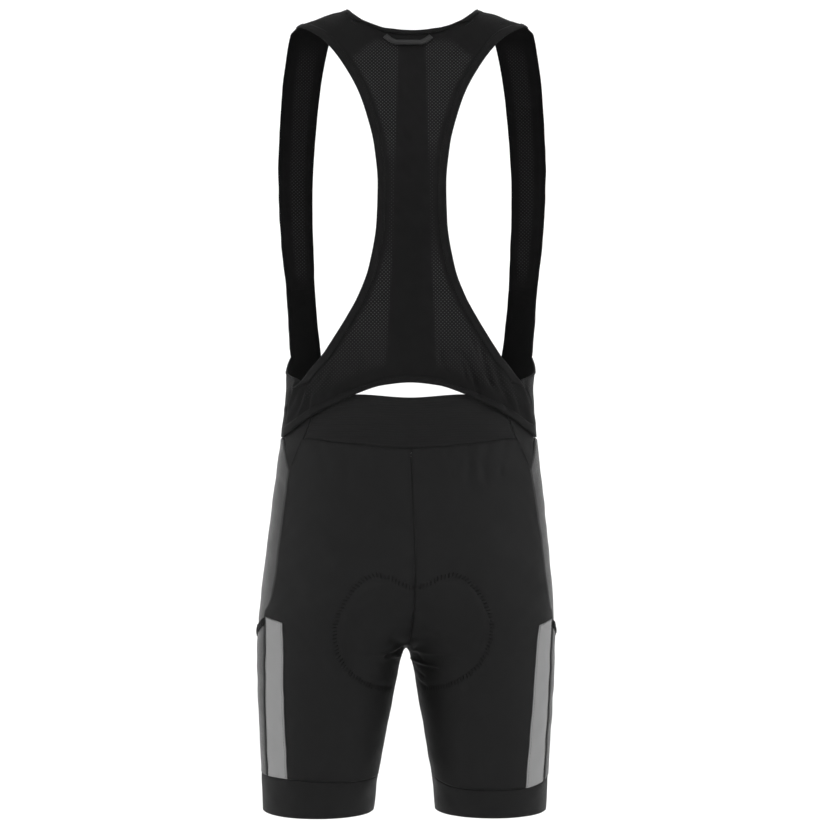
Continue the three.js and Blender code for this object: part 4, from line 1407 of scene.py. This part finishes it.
def mesh_knit(name, low, high, hole, **constants):
    """A knit with staggered round openings where the openness attribute says so, which take a
    lighter grey: painted light seen through them.
    """
    graph = Graph(name)
    waves = [graph.wave(value, MESH_PITCH, "COSINE") for value in graph.flat()]
    openness = graph.node("Attribute", attribute_name="openness", output=2)
    round_holes = graph.between(graph.math("MULTIPLY", *waves), *HOLE_EDGE, 0, 1)
    holes = graph.math("MULTIPLY", round_holes, openness)
    stitches = knit_height(graph, 0.95, 0.76)
    uneven = graph.noise(*MESH_PATCHES)
    tone = graph.math("MULTIPLY_ADD", uneven, 0.55, graph.math("MULTIPLY", stitches, 0.35))
    # The openings' lighter grey is painted light, as if the backdrop showed through them.
    colour = graph.colour(holes, graph.colour(tone, grey(low), grey(high)), grey(hole))
    height = graph.math("MULTIPLY_ADD", holes, -HOLE_DEPTH, stitches)
    return graph.finish(colour, height, 0.45, 0.3, 0.85, **constants)


def ribbed(name, low, high, pitch, roughness, strength=0.3, along=False, **constants):
    """Fine elastic ribs across the cloth, or along it."""
    graph = Graph(name)
    u, v = graph.flat()
    rib = graph.math("MULTIPLY_ADD", graph.wave(u if along else v, pitch), 0.5, 0.5)
    yarn = graph.math("MULTIPLY_ADD", graph.wave(v if along else u, 0.9), 0.5, 0.5)
    fine = graph.noise(*RIB_FIBRES)
    tone = graph.math("MULTIPLY_ADD", rib, 0.45, graph.math("MULTIPLY", fine, 0.5))
    colour = graph.colour(tone, grey(low), grey(high))
    height = graph.math("MULTIPLY_ADD", yarn, 0.35, rib)
    return graph.finish(colour, height, strength, 0.22, roughness, **constants)


# Shader constants, then the materials, each from its darkest to its lightest linear grey
SHEEN = {"Specular_IOR_Level": 0.05, "Sheen_Weight": 0.014, "Sheen_Roughness": 0.35}
MATT = {"Specular_IOR_Level": 0.02, "Sheen_Weight": 0.0}
SATIN = {"Specular_IOR_Level": 0.15, "Sheen_Weight": 0.06, "Sheen_Roughness": 0.35}
SMOOTH = {"Specular_IOR_Level": 0.3, "Sheen_Weight": 0.05}
main_knit = knit("main_knit", 0.0025, 0.0068, 0.62, **SHEEN)
# A mesh knit's last grey is its openings' painted light.
bib_knit = mesh_knit("mesh_knit", 0.002, 0.0052, 0.036, **SHEEN)
# The inside materials are darker and matt: painted shade on the inner faces of the straps and the
# front bib.
mesh_inside_painted_shade = mesh_knit("mesh_knit_reverse", 0.0015, 0.0038, 0.019, **MATT)
knit_inside_painted_shade = knit("main_knit_reverse", 0.0009, 0.0026, 0.8, **MATT)
loop_tape = ribbed("loop_tape", 0.0032, 0.0075, 1.1, 0.5, Specular_IOR_Level=0.15)
side_knit = knit("side_knit", 0.009, 0.018, 0.45, wale=0.9, course=0.75, **SATIN)
stripe_knit = knit("stripe_panel", 0.08, 0.113, 0.55, 0.8, 0.7, strength=0.12, **SMOOTH)
waist_elastic = ribbed("ribbed_elastic", 0.003, 0.0065, WAIST_RIB_PITCH, 0.7, 0.12, **SHEEN)
gripper_knit = knit("gripper_band", 0.0022, 0.0058, 0.55, wale=0.7, course=0.6, **SHEEN)
binding_elastic = ribbed("binding", 0.0016, 0.0046, 1.1, 0.65, along=True, **SHEEN)
thread = ribbed("thread", 0.0008, 0.0022, 0.5, 0.6, Specular_IOR_Level=0.05)

# How far a layer's inner and outer faces lie from the body's surface
PLAIN = {"inner": -WALL, "outer": 0}
TUCKED = {"inner": -WALL - TUCK, "outer": -TUCK}
APPLIED = {"inner": APPLIED_GAP, "outer": APPLIED_GAP + BAND_WALL}
CURVED = {"inner": CURVED_GAP, "outer": CURVED_GAP + BAND_WALL}
PRESSED = {"inner": 0.1, "outer": 0.7}


def band_crown(grid):
    """A binding is rounded down towards its two edges."""
    across = np.abs(np.linspace(-1, 1, grid.shape[1]))
    return -BAND_ROUND * across[None, :] ** 4 * np.ones((len(grid), 1))


# Where the knit opens into mesh: not in the plain strip up the middle, not along the edges,
# and faintly in the narrow part of the back.
BIB_OPEN = rows(
    "z strip share",
    (0, 13, 0),
    (-38, 14, 0),
    (-46, 14, 0.8),
    (-70, 15, 0.9),
    (-150, 17, 0.85),
    (-180, 18, 0.4),
    (-260, 20, 0.4),
    (-300, 22, 0.9),
    (-340, 24, 0.9),
    (-385, 26, 0.55),
    (-410, 28, 0.3),
)
bib_strip, bib_share = curves(BIB_OPEN, "z", "strip share")
MESH_MARGIN = 14
ARCH_MARGIN = (16, 26)
# The mesh's slanted upper end: its level at one distance from the middle, and its slope.
MESH_TOP = -38
MESH_TURN = 42
MESH_SLOPE = 0.9
MESH_TOP_FADE = 5


def bib_openness(grid):
    x, z = np.abs(grid[..., 0]), grid[..., 2]
    past_strip = smooth(x, bib_strip(z) - 1, bib_strip(z) + 2)
    inside = smooth(bib_edge(z) - x, MESH_MARGIN - 2, MESH_MARGIN + 2)
    above_arch = smooth(z - arch_edge(x), *ARCH_MARGIN)
    below_shoulder = smooth(MESH_TOP - MESH_SLOPE * (x - MESH_TURN) - z, 0, MESH_TOP_FADE)
    return bib_share(z) * past_strip * inside * above_arch * below_shoulder


# The strap is mesh up its middle: from and to which share of its columns, and which levels.
STRAP_MESH_IN = (0.3, 0.36)
STRAP_MESH_OUT = (0.64, 0.7)
STRAP_MESH_TOP = (-50, -25)
STRAP_MESH_FADE = 25


def strap_openness(grid):
    share = np.linspace(0, 1, grid.shape[1])[None, :]
    across = smooth(share, *STRAP_MESH_IN) * (1 - smooth(share, *STRAP_MESH_OUT))
    z = grid[..., 2]
    low = smooth(z, STRAP_SEAM, STRAP_SEAM + STRAP_MESH_FADE)
    return across * low * (1 - smooth(z, *STRAP_MESH_TOP))


TUCK_RUN = (8, 28)


def tuck_lift(grid):
    """The tucked pieces come out to the panels' level below the back bib's arch."""
    below = arch_edge(np.abs(grid[..., 0])) - grid[..., 2]
    return TUCK * smooth(below, *TUCK_RUN)


bib_fine = edge_loops(bib_grid)
cloth(
    "back_bib",
    "mesh_knit",
    bib_knit,
    bib_fine,
    **PLAIN,
    profile=trunk_back,
    open_at=bib_openness(bib_fine),
)
strap_fine = edge_loops(strap_grid)
pair(
    "strap",
    "mesh_knit",
    bib_knit,
    strap_fine,
    **PLAIN,
    profile=trunk_front,
    open_at=strap_openness(strap_fine),
    reverse=mesh_inside_painted_shade,
)
front_bib_fine = edge_loops(front_bib_grid)
pair("front_bib", "main_knit", main_knit, front_bib_fine, **PLAIN, reverse=knit_inside_painted_shade)

# The waistband's ribs, and its seam allowance: a last row that runs under the back panels.
ALLOWANCE_ROWS = 8
ALLOWANCE_DROP = 1.6
allowance = 2 * waistband_grid[-1] - waistband_grid[-1 - ALLOWANCE_ROWS]
waistband_fine = np.concatenate([waistband_grid, onto(allowance)[None]])
band_lift = tuck_lift(waistband_fine)
band_lift[-1] -= ALLOWANCE_DROP
ribs = WAIST_RIB_HEIGHT * np.cos(waistband_fine[..., 2] * 2 * math.pi / WAIST_RIB_PITCH)
ribs[-2] = -SEAM_DIP
cloth(
    "waistband_back",
    "ribbed_elastic",
    waist_elastic,
    waistband_fine,
    **TUCKED,
    folded=False,
    lift=band_lift,
    crown=ribs,
    centre=waistband_fine.shape[1] // 2,
)
wing_fine = edge_loops(wing_grid)
pair("wing", "main_knit", main_knit, wing_fine, **TUCKED, folded=False, lift=tuck_lift(wing_fine))
pair("back", "main_knit", main_knit, edge_loops(back_grid), **PLAIN)
pair("side", "side_knit", side_knit, edge_loops(side_grid), **PLAIN)
pair("front", "main_knit", main_knit, edge_loops(front_grid), **PLAIN)
pair("stripe", "stripe_panel", stripe_knit, edge_loops(stripe_grid), **PLAIN, dip=STRIPE_DIP)
pair("pocket", "side_knit", side_knit, edge_loops(pocket_grid), **PRESSED)

# The pocket's elastic is drawn into gathers of uneven height, flatter at mid height.
ELASTIC_WAVE_DEPTH = 1.5
GATHER_UNEVEN = 0.2
GATHER_CHANGE = 0.37
GATHER_FLAT = 0.55
turns = ELASTIC_AROUND * ELASTIC_WAVES * 2 * math.pi
gather_size = 1 - GATHER_UNEVEN + GATHER_UNEVEN * np.sin(turns * GATHER_CHANGE + 1)
gather = (1 - np.cos(turns)) / 2 * gather_size
up_band = np.linspace(-1, 1, len(elastic_grid))
elastic_wave = ELASTIC_WAVE_DEPTH * gather[None, :] * (1 - GATHER_FLAT * up_band[:, None] ** 2)
pair("pocket_elastic", "binding", binding_elastic, elastic_grid, **APPLIED, lift=elastic_wave)
pair("gripper", "gripper_band", gripper_knit, edge_loops(gripper_grid, True), **PLAIN, ring=True)

# Bindings lie on their panels' own points, as strips along and across.
bib_rows = bib_grid[:, -1, 2] > ARMHOLE_BOTTOM - ARMHOLE_BAND
armhole_back = bib_grid[bib_rows][:, -BAND_STEPS - 1 :]
front_edge = np.concatenate(
    [grid[:, -BAND_STEPS - 1 :] for grid in (strap_grid, front_bib_grid)]
)
armhole_front_band = front_edge[front_edge[:, -1, 2] > ARMHOLE_BOTTOM - ARMHOLE_BAND]
middle = BIB_COLUMNS + BAND_STEPS
neck_band = bib_grid[: BAND_STEPS + 1, middle - NECK_COLUMNS : middle + NECK_COLUMNS + 1]
neck_band = neck_band.swapaxes(0, 1)
arch_band = bib_grid[-BAND_STEPS - 1 :].swapaxes(0, 1)
front_scoop = front_grid[: BAND_STEPS + 1].swapaxes(0, 1)
front_scoop = front_scoop[front_scoop[:, 0, 0] < SCOOP_FRONT[3]["x"] - 1][::-1]
scoop_half = np.concatenate(
    [strap_grid[:, : BAND_STEPS + 1], front_bib_grid[:, : BAND_STEPS + 1], front_scoop]
)
scoop_band = np.concatenate([scoop_half, scoop_half[::-1] * [-1, 1, 1]])


def binding(node, grid, layers, material=binding_elastic, half=0, **form):
    crown = band_crown(grid)
    cloth(node, "binding", material, grid, **layers, half=half, crown=crown, dip=BAND_DIP, **form)


for side, half in SIDES.items():
    binding(f"armhole_binding_back_{side}", armhole_back, PRESSED, half=half)
    binding(f"armhole_binding_front_{side}", armhole_front_band, PRESSED, half=half)
binding("neck_binding", neck_band, CURVED)
binding("arch_binding", arch_band, CURVED)
binding("scoop_binding", scoop_band, APPLIED)

# The hang loop: a tape that stands off the bib between its two sewn ends.
LOOP_STAND = 1.9
LOOP_ROWS = 49
LOOP_COLUMNS = 5
loop_points = np.array([(row["x"], row["z"]) for row in LOOP_LINE], float)
loop_path = evenly(loop_points, LOOP_ROWS)
loop_line = trunk_point(loop_path[:, 0], loop_path[:, 1], BACK)
loop_along = np.gradient(loop_line, axis=0)
loop_across = np.cross(outward(loop_line), loop_along)
loop_across /= np.linalg.norm(loop_across, axis=-1, keepdims=True)
loop_share = np.linspace(-0.5, 0.5, LOOP_COLUMNS)[None, :, None]
loop_grid = onto(loop_line[:, None] + loop_across[:, None] * loop_share * LOOP_TAPE)
loop_rise = LOOP_STAND * np.sin(np.linspace(0, math.pi, LOOP_ROWS))
loop_lift = loop_rise[:, None] * np.ones((1, LOOP_COLUMNS))
binding("hang_loop", loop_grid, APPLIED, loop_tape, lift=loop_lift)

# Stitching: every seam has a row on each side, every binding one row, the seat pad spikes of
# a wide zigzag round its outline, and the groove behind the pocket a dense zigzag.
STITCH_PITCH = 3.4
STITCH_WIDTH = 0.42
STITCH_HEIGHT = 0.22
SEAM_TO_STITCH = 2.3
GROOVE_PITCH = 0.7
GROOVE_REACH = 2.4
PAD_ZIGZAG_PITCH = 2.1
PAD_ZIGZAG_REACH = 7
HEAVY_WIDTH = 1.25
ZIGZAG_LIFT = 0.1
# How much the zigzags' strokes are shortened unevenly, and how that changes a stroke.
UNEVEN = 0.35
UNEVEN_TURN = 2.3


def posed_line(line, half, lift):
    """A line on the right half's surface, raised, mirrored if need be and posed."""
    height = relief(line[None], half)[0] + lift
    normal = outward(line)
    points = [line + normal * (height + more)[:, None] for more in (0, 1)]
    for moved in points:
        moved[:, 0] *= half
    on, over = (pose(moved) for moved in points)
    up = over - on
    return on, up / np.linalg.norm(up, axis=-1, keepdims=True)


def threads(on, up, starts, ends):
    """A short spindle of thread for each pair of places along a posed line."""
    return on[starts], on[ends], (up[starts] + up[ends]) / 2


# A spindle's section as shares of its half width and height, and where its rings lie.
SPINDLE_RING = [(1, 0.1), (0, 1), (-1, 0.1), (0, -0.6)]
SPINDLE_RINGS_AT = (0.22, 0.78)
SHORTEST_THREAD = 0.2


def spindles(name, runs, width=STITCH_WIDTH):
    """One mesh of all the threads: each has two tips and two rings of four points."""
    start, end, up = (np.concatenate([run[k] for run in runs]) for k in range(3))
    along = end - start
    length = np.linalg.norm(along, axis=-1, keepdims=True)
    keep = length[:, 0] > SHORTEST_THREAD
    start, end, up, along, length = (v[keep] for v in (start, end, up, along, length))
    along = along / length
    side = np.cross(along, up)
    side /= np.linalg.norm(side, axis=-1, keepdims=True)
    points = [start, end]
    for share in SPINDLE_RINGS_AT:
        centre = start + along * length * share
        for across, rise in SPINDLE_RING:
            wide = side * across * width / 2
            points.append(centre + wide + up * rise * STITCH_HEIGHT)
    points = np.stack(points, axis=1)
    tips, flanks = [], []
    for k in range(4):
        after = (k + 1) % 4
        tips += [(0, 2 + after, 2 + k), (1, 6 + k, 6 + after)]
        flanks.append((2 + k, 2 + after, 6 + after, 6 + k))
    first = np.arange(len(points))[:, None, None] * points.shape[1]
    faces = []
    for kind in (tips, flanks):
        faces += (first + np.array(kind)[None]).reshape(-1, len(kind[0])).tolist()
    made = mesh_object(name, points.reshape(-1, 3), faces)
    made.data.materials.append(thread)
    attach(made, "root")


def dashes(line, half, lift):
    """Straight stitches along a line, one after another with small gaps."""
    length = np.linalg.norm(np.diff(line, axis=0), axis=-1).sum()
    count = max(1, int(length / STITCH_PITCH))
    places = evenly(line, 4 * count + 1)
    on, up = posed_line(places, half, lift)
    starts = np.arange(count) * 4
    return threads(on, up, starts, starts + 3)


def zigzag(line, half, lift, pitch, reached, every=1):
    """A zigzag of threads along a line, or only every so many of them, as uneven spikes."""
    length = np.linalg.norm(np.diff(line, axis=0), axis=-1).sum()
    count = int(length / pitch)
    places = evenly(line, count + 1)
    across = np.cross(outward(places), np.gradient(places, axis=0))
    across /= np.linalg.norm(across, axis=-1, keepdims=True)
    swing = np.where(np.arange(count + 1) % 2, 0.5, -0.5)[:, None] * reached
    swing *= 1 - UNEVEN * (1 + np.sin(np.arange(count + 1)[:, None] * UNEVEN_TURN)) / 2
    on, up = posed_line(onto(places + across * swing), half, lift)
    starts = np.arange(0, count, every)
    return threads(on, up, starts, starts + 1)


def edge_line(grid, edge, distance=SEAM_TO_STITCH):
    """A line inside one edge of a grid: left, right, top or bottom."""
    lines = grid.swapaxes(0, 1) if edge in ("left", "right") else grid
    first, step = (0, 1) if edge in ("left", "top") else (-1, -1)
    start, k = lines[first], first + step
    gone = np.linalg.norm(lines[k] - start, axis=-1)
    while np.median(gone) < distance and abs(k) < len(lines) - 1:
        k += step
        gone = np.linalg.norm(lines[k] - start, axis=-1)
    share = np.minimum(1, distance / np.maximum(gone, TINY))[:, None]
    return onto(mix(start, lines[k], share))


def seam_lines():
    """The lines of stitches beside the seams of the right half."""
    above_pocket = side_grid[side_grid[:, 0, 2] > POCKET_TOP[-1]["z"] + ELASTIC_HEIGHT]
    above_stripe = side_grid[side_grid[:, -1, 2] > STRIPE_OUTER[0]["z"]]
    below_armhole = front_bib_grid[front_bib_grid[:, -1, 2] < ARMHOLE_BOTTOM]
    gripper_top = np.concatenate([gripper_grid[:3], gripper_grid[:3, :1]], axis=1)
    sewn = [
        (back_grid, "left right top bottom"),
        (front_grid, "left right bottom"),
        (above_pocket, "left"),
        (above_stripe, "right"),
        (side_grid, "top"),
        (stripe_grid, "left right top"),
        (front_bib_grid, "bottom"),
        (below_armhole, "right"),
        (strap_grid, "bottom"),
        (front_bib_grid, "top"),
        (gripper_top, "top"),
    ]
    return [edge_line(grid, edge) for grid, edges in sewn for edge in edges.split()]


# Each binding of the right half, with the side that lies away from the cloth's edge.
BANDS = [
    (armhole_back, "left", PRESSED),
    (armhole_front_band, "left", PRESSED),
    (scoop_half, "right", APPLIED),
    (neck_band[len(neck_band) // 2 :], "right", CURVED),
    (arch_band[len(arch_band) // 2 :], "left", CURVED),
]
BINDING_TO_STITCH = 1.6


def band_lines():
    """The line along each binding's inner edge, with its height above the panel."""
    for grid, inner_edge, layers in BANDS:
        yield edge_line(grid, inner_edge, BINDING_TO_STITCH), layers["outer"]


def pad_lines():
    """The seat pad's outline on the right half's surface, behind and in front."""
    for face, line in PAD_LINES.items():
        sides = side_at(line[:, 0], line[:, 1], face)
        yield surface(sides, line[:, 1])


def groove_line():
    """Down the middle of the groove between the stripe and the pocket's back edge."""
    levels = side_levels[side_levels < STRIPE_OUTER[0]["z"]]
    inset = POCKET_GROOVE / 2 * side_per_mm(side_back(levels) - SIDE_STEP, levels)
    return surface(side_back(levels) - inset, levels)


halves = SIDES.values()
spindles("seam_stitching", [dashes(line, half, 0) for line in seam_lines() for half in halves])
band_runs = [dashes(line, half, lift) for line, lift in band_lines() for half in halves]
spindles("binding_stitching", band_runs)
pad_runs = [
    zigzag(line, half, ZIGZAG_LIFT, PAD_ZIGZAG_PITCH, PAD_ZIGZAG_REACH, every=2)
    for line in pad_lines()
    for half in halves
]
spindles("pad_stitching", pad_runs, HEAVY_WIDTH)
groove_runs = [
    zigzag(groove_line(), half, ZIGZAG_LIFT, GROOVE_PITCH, GROOVE_REACH) for half in halves
]
spindles("groove_stitching", groove_runs, HEAVY_WIDTH)

# Camera: level, 3 m behind the garment, as in the photograph.
CAMERA_DISTANCE = 3.0
CAMERA_X = 0.0011
CAMERA_Z = -0.451
SENSOR = 36
MM_PER_PIXEL = 1.12
IMAGE_PIXELS = 826
camera_data = bpy.data.cameras.new("camera")
camera_data.sensor_width = SENSOR
camera_data.lens = SENSOR * CAMERA_DISTANCE / (IMAGE_PIXELS * MM_PER_PIXEL * MM)
camera = bpy.data.objects.new("camera", camera_data)
camera.location = (CAMERA_X, -CAMERA_DISTANCE, CAMERA_Z)
camera.rotation_euler = (math.radians(90), 0, 0)
bpy.context.scene.collection.objects.link(camera)
bpy.context.scene.camera = camera


# A pale floor that curves up into a backdrop all round, in metres
FLOOR = -1.25
SWEEP_RADIUS = 5.0
SWEEP_CORNER = 1.2
SWEEP_TOP = 4.5
CORNER_STEPS = 12
SWEEP_SIDES = 96


def sweep():
    profile = [(0.01, FLOOR), (SWEEP_RADIUS - SWEEP_CORNER, FLOOR)]
    for k in range(1, CORNER_STEPS + 1):
        angle = math.radians(90 * k / CORNER_STEPS)
        across = SWEEP_RADIUS - SWEEP_CORNER + SWEEP_CORNER * math.sin(angle)
        profile.append((across, FLOOR + SWEEP_CORNER * (1 - math.cos(angle))))
    profile.append((SWEEP_RADIUS, SWEEP_TOP))
    turn = np.linspace(0, 2 * math.pi, SWEEP_SIDES, endpoint=False)
    points = [(r * math.cos(a), r * math.sin(a), z) for r, z in profile for a in turn]
    faces = []
    for i in range(len(profile) - 1):
        for k in range(SWEEP_SIDES):
            here, beside = i * SWEEP_SIDES + k, i * SWEEP_SIDES + (k + 1) % SWEEP_SIDES
            faces.append((here + SWEEP_SIDES, beside + SWEEP_SIDES, beside, here))
    made = mesh_object("sweep", np.array(points) / MM, faces)
    graph = Graph("pale_floor")
    colour = graph.colour(graph.noise(1.5, 2), grey(0.9), grey(0.94))
    made.data.materials.append(graph.finish(colour, graph.noise(60), 0.02, 0.2, 0.9))


sweep()

# Soft studio lights: places and sizes in metres, powers in watts
LIGHTS = rows(
    "name place size power",
    ("key", (2.6, -0.9, 0.4), (0.9, 2.2), 70),
    ("fill", (-2.6, -0.8, 0.2), (0.9, 2.2), 60),
    ("top", (0, -0.8, 2.4), (2.4, 1.0), 40),
    ("front", (0, -3.4, -1.1), (3.0, 1.2), 70),
)
WORLD_STRENGTH = 0.85
for light in LIGHTS:
    data = bpy.data.lights.new(light["name"], "AREA")
    data.shape = "RECTANGLE"
    data.size, data.size_y = light["size"]
    data.energy = light["power"]
    made = bpy.data.objects.new(light["name"], data)
    made.location = light["place"]
    aim = Vector((0, 0, CAMERA_Z)) - Vector(light["place"])
    made.rotation_euler = aim.to_track_quat("-Z", "Y").to_euler()
    bpy.context.scene.collection.objects.link(made)
world = bpy.data.worlds.new("world")
world.use_nodes = True
background = world.node_tree.nodes["Background"]
background.inputs["Color"].default_value = (1, 1, 1, 1)
background.inputs["Strength"].default_value = WORLD_STRENGTH
bpy.context.scene.world = world
bpy.context.scene.view_settings.view_transform = "Standard"
